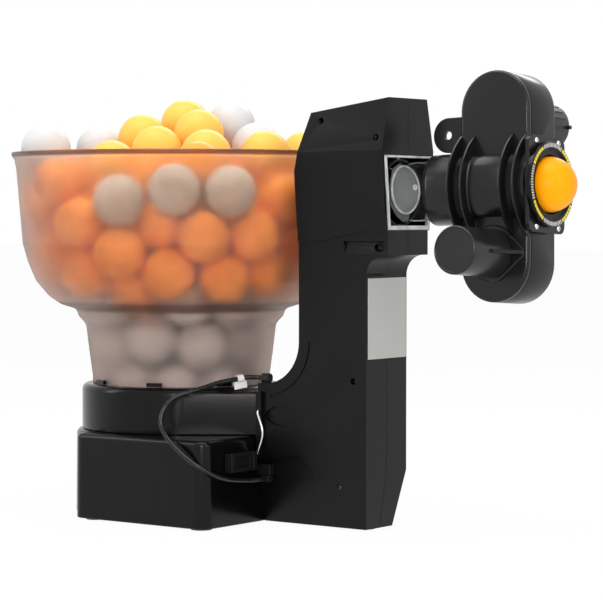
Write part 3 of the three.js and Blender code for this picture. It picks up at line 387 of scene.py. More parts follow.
def uneven(name, one, two, roughness, change, scale, detail=2, edges=None, stretch=None, relief=None,
           **plain):
    """One noise that runs between two colours, with changes of gloss and a relief where given."""
    finish = Finish(name, two, roughness, **plain)
    noise = finish.noise(scale, detail, stretch and finish.stretched(stretch))
    finish.paint(one, two, noise.rise(*edges) if edges else noise)
    if change:
        finish.feed("Roughness", roughness + change * noise)
    if relief:
        finish.bump(noise, *relief)
    return finish.material


FINE_LINES = (0.00001, 0.4)


def metal(name, shade, roughness, stretch=None):
    return uneven(name, times(shade, 0.86), shade, roughness - 0.08, 0.16, 900, stretch=stretch,
                  relief=FINE_LINES, Metallic=1.0)


RUBBER = rubbery("rubber", grey(0.01), 0.6)
LEAD_SKIN = rubbery("lead_skin", grey(0.002), 0.28)
FOAM = foam("tyre_foam", (0.11, 0.11, 0.1))
STEEL = metal("steel", grey(0.62), 0.28)
WIRE = metal("latch_wire", grey(0.8), 0.16)
DARK_STEEL = metal("dark_steel", grey(0.06), 0.34)
CAN = metal("motor_can", grey(0.45), 0.34, (1, 1, 30))
SILVER = uneven("silver_sheet", (0.40, 0.40, 0.385), (0.50, 0.495, 0.475), 0.34, 0.14, 60,
                stretch=(1, 1, 60), relief=FINE_LINES, Metallic=0.55)
BOARD = uneven("board", (0.008, 0.07, 0.03), (0.03, 0.2, 0.1), 0.4, 0, 420, 1, (0.5, 0.55),
               (1, 6, 1), (0.00004,))
MIST = uneven("misty_plastic", (0.13, 0.135, 0.135), (0.2, 0.205, 0.205), 0.16, 0.16, 90, 3, (0.35, 0.7),
              Transmission_Weight=0.3, IOR=1.4)
# Painted highlight: this near-white frosted plastic is partly frosted edges, partly the highlights painted
# on the window's rim and on the port's rim and eyelet.
FROST_AND_GLINT = uneven("frosted_plastic", grey(0.6), grey(0.95), 0.22, 0.2, 120, 3, (0.3, 0.7),
               Transmission_Weight=0.25, IOR=1.4)
print("metals:", STEEL.name, WIRE.name, CAN.name, SILVER.name)

# %% [markdown]
# ## Smoky and clear plastic
# The hopper is smoky plastic with a frosted skin: balls that touch the wall are clear, and
# those behind it blur. A see-through surface could be faked by transparency, but only rough
# refraction blurs with distance. A little light is scattered in the milky plastic, so the
# transmission stays below one. The plastic also swallows light on the way through it, so the
# wall looks darker where it is seen edge on. Darker rings at the shoulder step and at the thicker
# lip are painted shade, where more plastic is seen edge on. The window box is clear and smooth.

# %% See-through plastics
def smoky(name):
    finish = Finish(name, (0.86, 0.76, 0.70), 0.2, Transmission_Weight=0.965, IOR=1.3)
    height = finish.amount("ShaderNodeSeparateXYZ", {"Vector": finish.places}, output="Z")
    # Painted shade: darker rings at the shoulder step and at the lip, where more plastic is seen edge on.
    ring = height.between(0.162, 0.1695, 0.0015) * 0.6
    lip = height.between(0.2832, 0.2865, 0.0005) * 0.9
    haze = finish.noise(34, 3)
    bowl = finish.mix((0.87, 0.76, 0.68), (0.98, 0.89, 0.82), haze.rise(0.35, 0.7))
    clear = finish.mix((0.80, 0.76, 0.74), bowl, height.rise(0.15, 0.18))
    finish.paint(clear, (0.22, 0.14, 0.12), ring + lip)
    finish.feed("Roughness", 0.34 + 0.12 * haze + 0.2 * (1 - height.rise(0.12, 0.2)))
    finish.bump(finish.noise(700), 0.00004, 0.5)
    tint = {"Color": (0.62, 0.42, 0.34), "Density": 80.0}
    finish.end("Volume", finish.out("ShaderNodeVolumeAbsorption", tint))
    return finish.material


def clear(name, bend):
    finish = Finish(name, (0.93, 0.95, 0.95), 0.03, Transmission_Weight=1.0, IOR=bend)
    scuffs = finish.noise(60, 4)
    finish.feed("Roughness", 0.015 + 0.05 * scuffs.rise(0.55, 0.8))
    finish.paint((0.93, 0.95, 0.95), (0.84, 0.86, 0.86), scuffs.rise(0.5, 0.9))
    return finish.material


SMOKE = smoky("smoke_plastic")
CLEAR = clear("clear_plastic", 1.3)
THIN_CLEAR = clear("thin_clear_plastic", 1.08)
print("see-through:", SMOKE.name, CLEAR.name)

# %% [markdown]
# ## Making pieces
# Three ways make most of the pieces. A turned piece is a closed profile spun about an axis. A
# stacked piece joins outlines with the same number of points, one above the other. A finished
# copy takes the solid's own mesh, which is loose triangles, merges it and rounds its edges.
# Each result is shaded smooth, with sharp edges kept where the faces meet at an angle.

# %% From points to a piece
SHARP = 38
ROUNDED_ANGLE = math.radians(30)


def shaded(mesh, sharp):
    mesh.shade_smooth()
    mesh.set_sharp_from_angle(angle=math.radians(sharp))


def as_piece(name, bm, place=Matrix.Identity(4)):
    """A mesh object at the origin with merged corners, outward faces and smooth shading."""
    bmesh.ops.remove_doubles(bm, verts=bm.verts, dist=2e-6)
    bmesh.ops.recalc_face_normals(bm, faces=bm.faces)
    bmesh.ops.transform(bm, matrix=place, verts=bm.verts)
    mesh = bpy.data.meshes.new(name)
    bm.to_mesh(mesh)
    bm.free()
    shaded(mesh, SHARP)
    return in_scene(name, mesh)


def flattened(piece):
    """The piece with its modifiers turned into a plain mesh."""
    bpy.context.view_layer.update()
    mesh = bpy.data.meshes.new_from_object(piece.evaluated_get(bpy.context.evaluated_depsgraph_get()))
    piece.modifiers.clear()
    piece.data = mesh
    return piece


def dress(piece, material, body, *replaced, slot=None):
    """Gives a piece its finish, the body it moves with and the solids it stands for."""
    piece.data.materials.clear()
    piece.data.materials.append(material)
    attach(piece, body)
    if replaced:
        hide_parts(*replaced)
    print(piece.name, "in", material.name, "moves with", body)


print("edges sharper than", SHARP, "degrees stay sharp")

# %% Turned and stacked pieces
def rounded(corners, steps):
    """A closed outline of (u, v, radius) corners, each rounded by an arc of its radius."""
    outline = []
    for i, (u, v, radius) in enumerate(corners):
        here = Vector((u, v))
        before, after = [(Vector(corners[k % len(corners)][:2]) - here).normalized() for k in (i - 1, i + 1)]
        half = before.angle(after, 0) / 2
        if radius <= 0 or abs(half - math.pi / 2) < 1e-3:
            outline.append(here)
            continue
        centre = here + (before + after).normalized() * (radius / math.sin(half))
        start, end = [here + way * (radius / math.tan(half)) - centre for way in (before, after)]
        outline += [centre + start.slerp(end, k / steps).normalized() * radius for k in range(steps + 1)]
    return outline


def join_rings(bm, rings):
    """Faces between each ring of corners and the next."""
    for low, high in zip(rings, rings[1:]):
        for i in range(len(low)):
            bm.faces.new((low[i - 1], low[i], high[i], high[i - 1]))


def turned_piece(name, corners, place, axis="Z", sides=96, steps=6):
    """A closed profile of (radius, along, rounding) corners in mm, spun about an axis."""
    profile = rounded(corners, steps)
    bm = bmesh.new()
    rings = []
    for k in range(sides):
        c, s = math.cos(2 * math.pi * k / sides), math.sin(2 * math.pi * k / sides)
        ways = [(max(r, 0) * c, max(r, 0) * s, a) for r, a in profile]
        order = {"X": (2, 0, 1), "Y": (1, 2, 0), "Z": (0, 1, 2)}[axis]
        rings.append([bm.verts.new(Vector([way[i] for i in order]) * MM) for way in ways])
    join_rings(bm, rings + rings[:1])
    bmesh.ops.remove_doubles(bm, verts=bm.verts, dist=1e-7)
    bmesh.ops.dissolve_degenerate(bm, edges=bm.edges, dist=1e-8)
    return as_piece(name, bm, place)


def stacked_piece(name, outlines, place=Matrix.Identity(4)):
    """Outlines with the same number of points, in mm, joined one to the next and closed."""
    bm = bmesh.new()
    rings = [[bm.verts.new(Vector(p) * MM) for p in outline] for outline in outlines]
    join_rings(bm, rings)
    bm.faces.new(rings[0])
    bm.faces.new(rings[-1])
    return as_piece(name, bm, place)


print("a square corner becomes", len(rounded([(0, 0, 0), (1, 0, 0.5), (1, 1, 0)], 6)), "points")

# %% Cutting, joining and finished copies
def carve(piece, operation, *tools):
    """Joins the tools to the piece, or cuts them out of it, and removes the tools."""
    for tool in tools:
        step = piece.modifiers.new("carve", "BOOLEAN")
        step.operation, step.solver, step.object = operation, "EXACT", tool
    shaded(flattened(piece).data, SHARP)
    for tool in tools:
        bpy.data.objects.remove(tool)
    return piece


def rod(place, radius, low, high, axis="Z", sides=96):
    """A plain round tool about an axis of a place."""
    corners = [(0, low, 0), (radius, low, 0), (radius, high, 0), (0, high, 0)]
    return turned_piece("tool", corners, place, axis, sides)


def keep_flats(piece, least=0.00012):
    """Keeps the edges between large flat faces sharp, however small their angle."""
    bm = bmesh.new()
    bm.from_mesh(piece.data)
    for edge in bm.edges:
        if len(edge.link_faces) == 2 and min(face.calc_area() for face in edge.link_faces) > least:
            edge.smooth = edge.smooth and edge.calc_face_angle() < 0.01
    bm.to_mesh(piece.data)
    bm.free()


def mark_long_edges(piece, shortest):
    """Marks the outer edges that are long enough for a wide rounding."""
    bm = bmesh.new()
    bm.from_mesh(piece.data)
    weight = bm.edges.layers.float.new("bevel_weight_edge")
    for edge in bm.edges:
        if edge.is_manifold and edge.is_convex and edge.calc_face_angle() > ROUNDED_ANGLE:
            edge[weight] = float(edge.calc_length() > shortest * MM)
    bm.to_mesh(piece.data)
    bm.free()


def finished_copy(name, solid, edge, shortest=0):
    """A merged copy of a solid, its sharp edges, or only the long ones, rounded by edge mm."""
    bm = bmesh.new()
    bm.from_mesh(nodes[solid].data)
    bmesh.ops.remove_doubles(bm, verts=bm.verts, dist=4e-6)
    bmesh.ops.dissolve_limit(bm, angle_limit=math.radians(0.6), verts=bm.verts, edges=bm.edges)
    piece = as_piece(name, bm)
    step = piece.modifiers.new("edges", "BEVEL")
    step.width, step.segments, step.angle_limit = edge * MM, 3, ROUNDED_ANGLE
    step.limit_method, step.miter_outer = "WEIGHT" if shortest else "ANGLE", "MITER_ARC"
    if shortest:
        mark_long_edges(piece, shortest)
    shaded(flattened(piece).data, SHARP)
    keep_flats(piece)
    piece.modifiers.new("even", "WEIGHTED_NORMAL").keep_sharp = True
    return flattened(piece)


print("ways of making pieces are ready")

# %% [markdown]
# ## Geometry Nodes helper
# Whatever repeats is grown by Geometry Nodes: one small shape is set on many points. The tree
# has named inputs for its sizes, and ends in Realize Instances and Set Material. The result is
# turned into a plain mesh, so that no instances or live modifiers are left.

# %% Growing repeated shapes
class Growth(Tree):
    """A Geometry Nodes tree with named inputs, built step by step."""

    def __init__(self, name, **inputs):
        super().__init__(bpy.data.node_groups.new(name, "GeometryNodeTree"))
        face = self.tree.interface
        for way in ("INPUT", "OUTPUT"):
            face.new_socket("Geometry", in_out=way, socket_type="NodeSocketGeometry")
        kinds = {float: "Float", int: "Int", bpy.types.Object: "Object", bpy.types.Material: "Material"}
        self.values = {}
        for label, value in inputs.items():
            kind = "NodeSocket" + kinds[type(value)]
            self.values[face.new_socket(label, in_out="INPUT", socket_type=kind).identifier] = value
        self.start = self.node("NodeGroupInput").outputs
        self.end = self.node("NodeGroupOutput").inputs[0]

    def circle(self):
        """Points on a circle, after the inputs count and radius."""
        return self.out("GeometryNodeMeshCircle", {"Vertices": self.start["count"],
                                                   "Radius": self.start["radius"]})

    def box(self, *sides):
        """A block whose sides are named inputs."""
        size = self.out("ShaderNodeCombineXYZ", {i: self.start[side] for i, side in enumerate(sides)})
        return self.out("GeometryNodeMeshCube", {"Size": size})

    def pattern(self):
        return self.node("GeometryNodeObjectInfo", {"Object": self.start["pattern"]}).outputs["Geometry"]

    def outwards(self):
        return self.out("GeometryNodeInputPosition")

    def facing(self, axis, way):
        return self.out("FunctionNodeAlignRotationToVector", {"Vector": way}, axis=axis)

    def set_on(self, points, shape, turn, **more):
        """One copy of a shape on each point."""
        return self.out("GeometryNodeInstanceOnPoints",
                        {"Points": points, "Instance": shape, "Rotation": turn, **more})

    def grow(self, name, shape, seeds=None, sharp=SHARP):
        """Ends the tree in real meshes with their finish, and runs it on the seeds."""
        real = self.out("GeometryNodeRealizeInstances", {"Geometry": shape})
        finish = self.start["finish"]
        put(self.end, self.out("GeometryNodeSetMaterial", {"Geometry": real, "Material": finish}))
        seeds = seeds or seed_points([(0, 0, 0)])
        step = seeds.modifiers.new("growth", "NODES")
        step.node_group = self.tree
        for key, value in self.values.items():
            step[key] = value
        shaded(flattened(seeds).data, sharp)
        seeds.name = seeds.data.name = name
        for value in self.values.values():
            if isinstance(value, bpy.types.Object):
                bpy.data.objects.remove(value)
        return seeds


def seed_points(places, **facts):
    """An object with one bare point at each place, and named facts stored on the points."""
    mesh = bpy.data.meshes.new("seeds")
    mesh.from_pydata([tuple(p) for p in places], [], [])
    for label, values in facts.items():
        kind, field = ("FLOAT_COLOR", "color") if len(values[0]) == 4 else ("FLOAT_VECTOR", "vector")
        store = mesh.attributes.new(label, kind, "POINT")
        store.data.foreach_set(field, [c for value in values for c in value])
    return in_scene("seeds", mesh)


print("Geometry Nodes helper is ready")

# %% [markdown]
# ## Studio
# The robot stands on a plain white floor in soft studio light. A large lamp hangs over it, one
# stands behind the camera, two narrow ones at the sides draw bright lines along round edges,
# and one high behind lights the upper edges. The world is white for the camera, for gloss and
# for what is seen through plastic, and grey for plain light, so that the background is white
# without more light on the robot.

# %% Floor and world
WHITE_LIGHT = grey(1)


def stage_floor():
    finish = Finish("floor_paint", grey(0.86), 0.9, Specular_IOR_Level=0.1)
    camera_ray, glossy_ray, through_ray = [finish.amount("ShaderNodeLightPath", output=f"Is {kind} Ray")
                                           for kind in ("Camera", "Glossy", "Transmission")]
    seen = camera_ray.sum("ADD", camera_ray + glossy_ray, through_ray, clamp=True)
    glow = finish.out("ShaderNodeEmission", {"Color": WHITE_LIGHT, "Strength": 1.0})
    finish.end("Surface", finish.out("ShaderNodeMixShader",
                                     {0: seen * 0.96, 1: finish.shader.outputs[0], 2: glow}))
    bm = bmesh.new()
    bmesh.ops.create_grid(bm, x_segments=1, y_segments=1, size=12)
    floor = as_piece("floor", bm)
    floor.data.materials.append(finish.material)
    return floor


def studio_world():
    world = bpy.data.worlds.new("studio")
    bpy.context.scene.world = world
    world.use_nodes = True
    tree = Tree(world.node_tree)
    plain = tree.out("ShaderNodeBackground", {"Color": WHITE_LIGHT, "Strength": 0.5})
    white = tree.out("ShaderNodeBackground", {"Color": WHITE_LIGHT, "Strength": 1.0})
    path = tree.node("ShaderNodeLightPath").outputs
    seen = path["Is Camera Ray"]
    for kind in ("Glossy", "Transmission"):
        seen = tree.out("ShaderNodeMath", {0: seen, 1: path[f"Is {kind} Ray"]}, operation="MAXIMUM")
    put(world.node_tree.nodes["World Output"].inputs["Surface"],
        tree.out("ShaderNodeMixShader", {0: seen, 1: plain, 2: white}))


floor = stage_floor()
studio_world()
bpy.context.scene.view_settings.view_transform = "Standard"
print("floor", floor.name)

# %% Lamps
MIDDLE = Vector((0.0, 0.0, 0.18))


def soft_lamp(name, place, wide, high, power):
    """A lamp with a white rectangle of light that faces the middle of the robot."""
    data = bpy.data.lights.new(name, "AREA")
    data.shape, data.size, data.size_y, data.energy = "RECTANGLE", wide, high, power
    way = MIDDLE - Vector(place)
    turn = way.to_track_quat("-Z", "Y").to_matrix().to_4x4()
    in_scene(name, data).matrix_world = Matrix.Translation(place) @ turn


soft_lamp("lamp_above", (0.0, -0.25, 1.5), 1.4, 1.0, 16)
soft_lamp("lamp_by_camera", (1.0, -1.5, 0.5), 0.4, 0.5, 10)
soft_lamp("lamp_right", (1.5, -0.3, 0.8), 0.25, 1.1, 5)
soft_lamp("lamp_left", (-1.2, -0.9, 0.7), 0.3, 0.9, 4.5)
soft_lamp("lamp_behind", (-0.5, 1.1, 1.15), 1.2, 0.35, 7)
print(len(bpy.data.lights), "lamps")

# %% [markdown]
# ## Hopper
# The hopper is one blow-moulded shell: a wide bowl with a turned lip, a shoulder, and a waisted
# neck that locks into the drum. It is exactly round, so its wall is a closed profile spun about
# the upright axis, with real roundings where the solid model has corners.

# %% Hopper wall
WALL = 2.4
OUTSIDE = [
    (70, 104.3, 0.6), (73.2, 128, 2), (76, 151, 10), (81.6, 157, 4), (84, 163, 5), (95.8, 166.7, 14),
    (105, 172.9, 14), (115.5, 185.3, 14), (121.8, 200.2, 14), (126, 215, 14), (128.4, 245, 14),
    (131, 275, 2), (132.2, 281, 2),
]
LIP = [(134.5, 284.6, 1.0), (134.5, 287, 0.9), (132.1, 287, 0.9)]
inside = [(radius - WALL, z, rounding) for radius, z, rounding in reversed(OUTSIDE)]

wall = turned_piece("hopper_wall", OUTSIDE + LIP + inside, DRUM, sides=144, steps=5)
dress(wall, SMOKE, "hopper", "hopper", slot="smoke_plastic")

# %% Hopper lugs
def lug_ring():
    """Eight short lugs around the foot of the neck, set by Geometry Nodes on a circle."""
    g = Growth("lug_ring", count=8, radius=0.0705, long=0.012, deep=0.0044, high=0.003, finish=BLACK)
    lug = g.box("deep", "long", "high")
    lugs = g.grow("hopper_lugs", g.set_on(g.circle(), lug, g.facing("X", g.outwards())))
    lugs.data.transform(shifted(DRUM, z=106.1) @ Matrix.Rotation(math.pi / 8, 4, "Z"))
    return lugs


dress(lug_ring(), BLACK, "hopper", slot="smoke_plastic")

# %% [markdown]
# ## Balls
# A heap of 40 mm balls fills the hopper. The balls that the photograph shows have their own
# places, found by the pixels of their middles. The others fall in between: in each step every
# free ball sinks a little and is pushed out of its neighbours and of the wall. This is faster
# than a physics simulation and gives the same heap each time, because its start is seeded.

# %% Where the balls lie
BALL, FILLING = 40.0, 104
# Painted light: the balls on top of the heap get the first, lighter and yellower orange, where the light
# falls on them; the balls inside the bowl and in the mouth are deeper orange.
ORANGE, PALE, SHADED_WHITE = (1.0, 0.53, 0.10, 1), (0.63, 0.63, 0.63, 1), (0.56, 0.52, 0.46, 1)
DEEP_ORANGE, MILKY, LOUD_ORANGE = (1.0, 0.36, 0.04, 1), (0.72, 0.68, 0.65, 1), (1.0, 0.36, 0.0, 1)
SEEN = [
    (-265.9, -54.3, 290.1, PALE), (-239.8, -17.3, 290.1, PALE), (-202.1, -9, 298.1, ORANGE),
    (-165.9, -34.4, 287.5, ORANGE), (-182.4, -69.2, 275.6, ORANGE), (-191.3, 31.5, 311, ORANGE),
    (-155.9, 5.5, 301.5, ORANGE), (-125, -23.8, 284.2, ORANGE), (-171.5, 66.2, 310.5, PALE),
    (-131.5, 48.8, 291.7, PALE), (-90.3, 7.2, 283.4, ORANGE), (-106.2, 80.2, 285.1, ORANGE),
    # Painted shade: the white balls low behind the wall get a darker, warmer grey than the white balls on
    # top.
    (-147.7, -100.7, 248.5, SHADED_WHITE), (-106.5, -84.9, 256.4, SHADED_WHITE), (-77.6, -53.3, 254.9, SHADED_WHITE),
]
SINK, PUSH, LONGEST_PUSH = 1.2, 0.42, 8
LOWEST, HIGHEST, SPREAD, NECK_TOP = 101, 274, 62, 172


def off_wall(every, heights, radii):
    """How far each ball must move, in radius and height, to lie clear of the hopper's inner wall."""
    across = np.hypot(every[:, 0], every[:, 1])
    away = np.stack([across[:, None] - radii, every[:, 2, None] - heights], axis=-1)
    span = np.sqrt((away**2).sum(-1))
    nearest = span.argmin(1)
    rows = np.arange(len(every))
    inside = across < np.interp(every[:, 2], heights, radii)
    lack = np.where(inside, BALL / 2 + 0.4 - span[rows, nearest], 0).clip(0)
    return away[rows, nearest] / np.maximum(span[rows, nearest], 1e-6)[:, None] * lack[:, None]


def settle(pinned, count, steps=300):
    """Lets count balls sink and push apart around the pinned ones; places from the drum's axis, mm."""
    dice = np.random.default_rng(7)
    heights = np.linspace(100, 283, 184)
    radii = np.interp(heights, [p[1] for p in OUTSIDE], [p[0] - WALL for p in OUTSIDE])
    pins = np.array(pinned) - np.array((DRUM_X, 0, 0))
    free = np.c_[dice.uniform(-SPREAD, SPREAD, count), dice.uniform(-SPREAD, SPREAD, count),
                 np.linspace(105, 300, count)]
    every = np.vstack([pins, free])
    k = len(pins)
    for step in range(steps):
        every[k:, 2] -= SINK * (1 - step / steps)
        for _ in range(4):
            apart = every[:, None] - every[None]
            gap = np.sqrt((apart**2).sum(2)) + np.eye(len(every)) * 1000
            push = (apart * (np.clip(BALL - gap, 0, None) / gap)[..., None]).sum(1) * PUSH
            every[k:] += np.clip(push[k:], -LONGEST_PUSH, LONGEST_PUSH)
            reach = np.hypot(every[:, 0], every[:, 1])
            limit = np.interp(every[:, 2], heights, radii) - BALL / 2 - 0.3
            every[k:, :2] *= np.where(reach > limit, limit / np.maximum(reach, 1e-6), 1)[k:, None]
            shift = off_wall(every, heights, radii)[k:]
            reach = np.maximum(np.hypot(every[k:, 0], every[k:, 1]), 1e-6)
            every[k:, :2] *= ((reach + shift[:, 0]) / reach)[:, None]
            every[k:, 2] = np.clip(every[k:, 2] + shift[:, 1], LOWEST, HIGHEST)
    return every[:k], every[k:], gap.min(1)


pins, fill, gaps = settle([ball[:3] for ball in SEEN], FILLING)
print(len(pins) + len(fill), "balls, nearest neighbours from", round(float(gaps.min()), 1), "to",
      round(float(gaps.max()), 1), "mm")

# %% [markdown]
# A ball is two celluloid cups joined by a welded seam, seen as a fine ring. Geometry Nodes set
# one ball shape on every place; each ball keeps its own colour and its own turn, and the
# height on the ball is stored so that the finish can find the seam.

# %% Ball finish
def ball_finish(name):
    finish = Finish(name, (1, 0.5, 0.02), 0.34, Specular_IOR_Level=0.12)
    shade = finish.amount("ShaderNodeAttribute", output="Color", attribute_name="ball_colour")
    height = finish.amount("ShaderNodeAttribute", output="Fac", attribute_name="seam")
    seam = 1 - height.size().rise(0.012, 0.03)
    cloud = finish.noise(70)
    tint = finish.amount("ShaderNodeHueSaturation", {"Color": shade, "Value": 0.95 + 0.08 * cloud})
    finish.paint(tint, (0.5, 0.3, 0.1), seam * 0.16)
    finish.feed("Roughness", 0.3 + 0.12 * cloud)
    finish.bump(seam, 0.0001, -0.4)
    return finish.material


BALL_SKIN = ball_finish("ball_skin")


def balls(name, body, places, shades, turns):
    g = Growth("balls", radius=BALL / 2 * MM, across=36, up=18, finish=BALL_SKIN)
    ball = g.out("GeometryNodeMeshUVSphere", {"Segments": g.start["across"], "Rings": g.start["up"],
                                              "Radius": g.start["radius"]})
    height = g.node("ShaderNodeSeparateXYZ", {0: g.outwards()}).outputs["Z"]
    share = g.out("ShaderNodeMath", {0: height, 1: g.start["radius"]}, operation="DIVIDE")
    marked = g.out("GeometryNodeStoreNamedAttribute", {"Geometry": ball, "Name": "seam", "Value": share},
                   data_type="FLOAT", domain="POINT")
    turn = g.out("GeometryNodeInputNamedAttribute", {"Name": "ball_turn"}, data_type="FLOAT_VECTOR")
    heap = g.set_on(g.start[0], marked, g.out("FunctionNodeEulerToRotation", {0: turn}))
    made = g.grow(name, heap, seed_points(places, ball_colour=shades, ball_turn=turns), sharp=180)
    dress(made, BALL_SKIN, body)


places = [spot(*p, DRUM) for p in [*pins, *fill]]
shades = [ball[3] for ball in SEEN] + [MILKY if p[2] < NECK_TOP else DEEP_ORANGE for p in fill]
turns = [tuple(t) for t in np.random.default_rng(11).uniform(0, math.pi, (len(places), 3))]
balls("ball_load", "hopper", places, shades, turns)
balls("mouth_ball", "head", [spot(131.5, 0, 0, HEAD)], [LOUD_ORANGE], [(0.4, 1.2, 0.3)])

# %% [markdown]
# ## Base block and drum
# The block is a box with rounded corners that runs into a round tail. Both outlines are the
# outer edge of two simple shapes together, seen from a point that lies inside both. So each
# outline is found by walking outwards in many directions until the distance to the shape is
# nought, or a given inset, and outlines with growing insets make the rounded top edge.

# %% Outlines from distances
AROUND = np.linspace(0, 2 * math.pi, 720, endpoint=False)
PLAN_X = -150
BLOCK_X, BLOCK_LONG, BLOCK_WIDE, BLOCK_CORNER, BLOCK_TAIL = -138.5, 66.5, 92, 10, 84
TUB, TUB_CORE, PANEL_TURN, PANEL_END = 79, 78, 0.943, 98


def block_distance(x, y):
    """Distance in mm from the edge of the block's plan, below nought inside."""
    u = np.abs(x - BLOCK_X) - (BLOCK_LONG - BLOCK_CORNER)
    v = np.abs(y) - (BLOCK_WIDE - BLOCK_CORNER)
    box = np.hypot(np.maximum(u, 0), np.maximum(v, 0)) + np.minimum(np.maximum(u, v), 0) - BLOCK_CORNER
    return np.minimum(box, np.hypot(x - DRUM_X, y) - BLOCK_TAIL)


def drum_distance(x, y):
    """Distance from the panels drawn in towards the column, around a round core inside the drum."""
    x = x - DRUM_X
    c, s = math.cos(PANEL_TURN), math.sin(PANEL_TURN)
    panel = np.maximum.reduce([c * x + s * y - TUB, c * x - s * y - TUB, x - PANEL_END, TUB * c - x])
    return np.minimum(np.hypot(x, y) - TUB_CORE, panel)


def tub_distance(x, y):
    return np.hypot(x - DRUM_X, y) - TUB


def outline(distance, inset, z, middle):
    """Points in mm where the distance is -inset, walking out from a middle on the x axis."""
    low, high = np.zeros_like(AROUND), np.full_like(AROUND, 200.0)
    c, s = np.cos(AROUND), np.sin(AROUND)
    for _ in range(40):
        mid = (low + high) / 2
        inside = distance(middle + mid * c, mid * s) < -inset
        low, high = np.where(inside, mid, low), np.where(inside, high, mid)
    return [(middle + r * a, r * b, z) for r, a, b in zip(low, c, s)]


def soft_edge(radius, steps=6):
    """Inset and depth along a quarter-round edge, from the face inwards."""
    return [(radius * (1 - math.sin(a)), radius * (1 - math.cos(a)))
            for a in (math.pi / 2 * k / steps for k in range(steps + 1))]


def rounded_stack(name, distance, middle, z0, z1, round_low, round_top, draft=0.0):
    """A stack of outlines from z0 to z1 with quarter-round edges below and above."""
    low = [(inset, z0 + deep) for inset, deep in soft_edge(round_low)]
    top = [(draft + deep, z1 - inset) for inset, deep in soft_edge(round_top)]
    return stacked_piece(name, [outline(distance, inset, z, middle) for inset, z in low + top], STAND)


print(len(AROUND), "points on each outline")

# %% Base block
def box_tool(x0, x1, wide, z0, z1):
    corners = [(x0, -wide), (x1, -wide), (x1, wide), (x0, wide)]
    return stacked_piece("tool", [[(x, y, z) for x, y in corners] for z in (z0, z1)], STAND)


def base_block():
    block = rounded_stack("base_block", block_distance, PLAN_X, 1.5, 68, 1.2, 4.2, draft=0.6)
    room = stacked_piece("tool", [outline(block_distance, 2.5, z, PLAN_X) for z in (0, 65.4)], STAND)
    return carve(block, "DIFFERENCE", room, rod(DRUM, 71.3, 0, 70), box_tool(-102, -70, 22.3, 56, 70))


dress(base_block(), BLACK, "stand", "base_cover", slot="black_plastic")

# %% Feeder drum
def feeder_tub():
    """A round tub with a large top rounding, and lower panels drawn in towards the column."""
    tub = rounded_stack("feeder_tub", tub_distance, DRUM_X, 68.3, 104, 0.6, 5)
    panels = rounded_stack("tool", drum_distance, PLAN_X, 68.5, 101.4, 0.6, 2.4, draft=0.25)
    carve(tub, "UNION", panels, rod(DRUM, 71, 56.4, 71.4), box_tool(-102, -72.2, 22, 56.4, 71.4))
    duct = rod(STAND @ Matrix.Translation((0, 0, 0.08)), 20.7, -110, -60, "X")
    return carve(tub, "DIFFERENCE", rod(DRUM, 68, 59.4, 110), duct, rod(DRUM, 3.3, 50, 70, sides=24))


dress(feeder_tub(), BLACK, "stand", "feeder_drum", slot="black_plastic")

# %% [markdown]
# ## Column
# The column is two moulded shells that meet on the middle plane, with a sloped roof, a ledge
# and hollows pressed into the sides. Its solids already have the right shape, so finished
# copies with rounded edges stand for them.

# %% Housing shells
for name, solid in (("near_housing", "housing_near_shell"), ("far_housing", "housing_far_shell")):
    dress(finished_copy(name, solid, 1.4, shortest=9), HOUSING, "stand", solid, slot="black_plastic")

# %% [markdown]
# The shells meet with a fine gap. Real shells have a tongue along the seam that keeps light and
# dust out. Without one, the floor shines through the column when it is seen from straight ahead.

# %% Tongue behind the front seam
def seam_tongue():
    """A thin strip inside the front wall, across the seam."""
    line = [(22, 2.6), (28.5, 44), (28.5, 190), (27.8, 190), (27.8, 44), (21.3, 2.6)]
    return stacked_piece("seam_tongue", [[(x, y, z) for x, z in line] for y in (-0.9, 0.9)], STAND)


dress(seam_tongue(), INNER, "stand", slot="inner_plastic")

# %% [markdown]
# ## Screws
# Screws have domed heads with a cross recess. One head is made once, as a spun dome with the
# cross cut out, and Geometry Nodes set it on every place along its own direction.

# %% Cross-head screws
def screw_head(radius, high):
    def bar(x, y):
        corners = [(-x, -y), (x, -y), (x, y), (-x, y)]
        return stacked_piece("tool", [[(u * size, v * size, z) for u, v in corners]
                                      for z, size in ((high * 0.3, 0.8), (high * 1.2, 1))])
    dome = [(0, 0, 0), (radius, 0, 0), (radius, high * 0.5, high * 0.4),
            (radius * 0.55, high, radius * 0.3), (0, high, 0)]
    head = turned_piece("screw_pattern", dome, Matrix.Identity(4), sides=20, steps=3)
    long, wide = radius * 0.62, radius * 0.13
    return carve(head, "DIFFERENCE", bar(long, wide), bar(wide, long))


def screws(name, places, way, high, finish, body, *solids):
    g = Growth("screws", pattern=screw_head(2.3, high), finish=finish)
    made = g.grow(name, g.set_on(g.start[0], g.pattern(), g.facing("Z", way)), seed_points(places))
    dress(made, finish, body, *solids, slot="steel")


SUNK = [(-10, 307.9), (42.1, 294.5), (40, 213.5), (18.2, 113.4), (3.2, 32.9)]
screws("housing_screws", [spot(x, -22.65, z) for x, z in SUNK], (0, -1, 0), 1.7, DARK_STEEL,
       "stand", *[f"housing_screw_{i + 1}" for i in range(5)])
screws("mouth_screws", [spot(129.6, y, z, HEAD) for y in (-15, 15) for z in (-30.5, 30.5)],
       tuple(HEAD.to_3x3() @ Vector((1, 0, 0))), 1.4, WIRE,
       "head", *[f"mouth_screw_{i + 1}" for i in range(4)])

# %% [markdown]
# ## Throwing head
# The head is a flat upright case in two shells, each a deep tray with round ends. A copy with
# bevelled edges would round all edges alike, but the real case has a wide soft edge on its face
# and a fine one at the seam. So each shell is a stack of upright outlines whose insets follow a
# quarter circle.

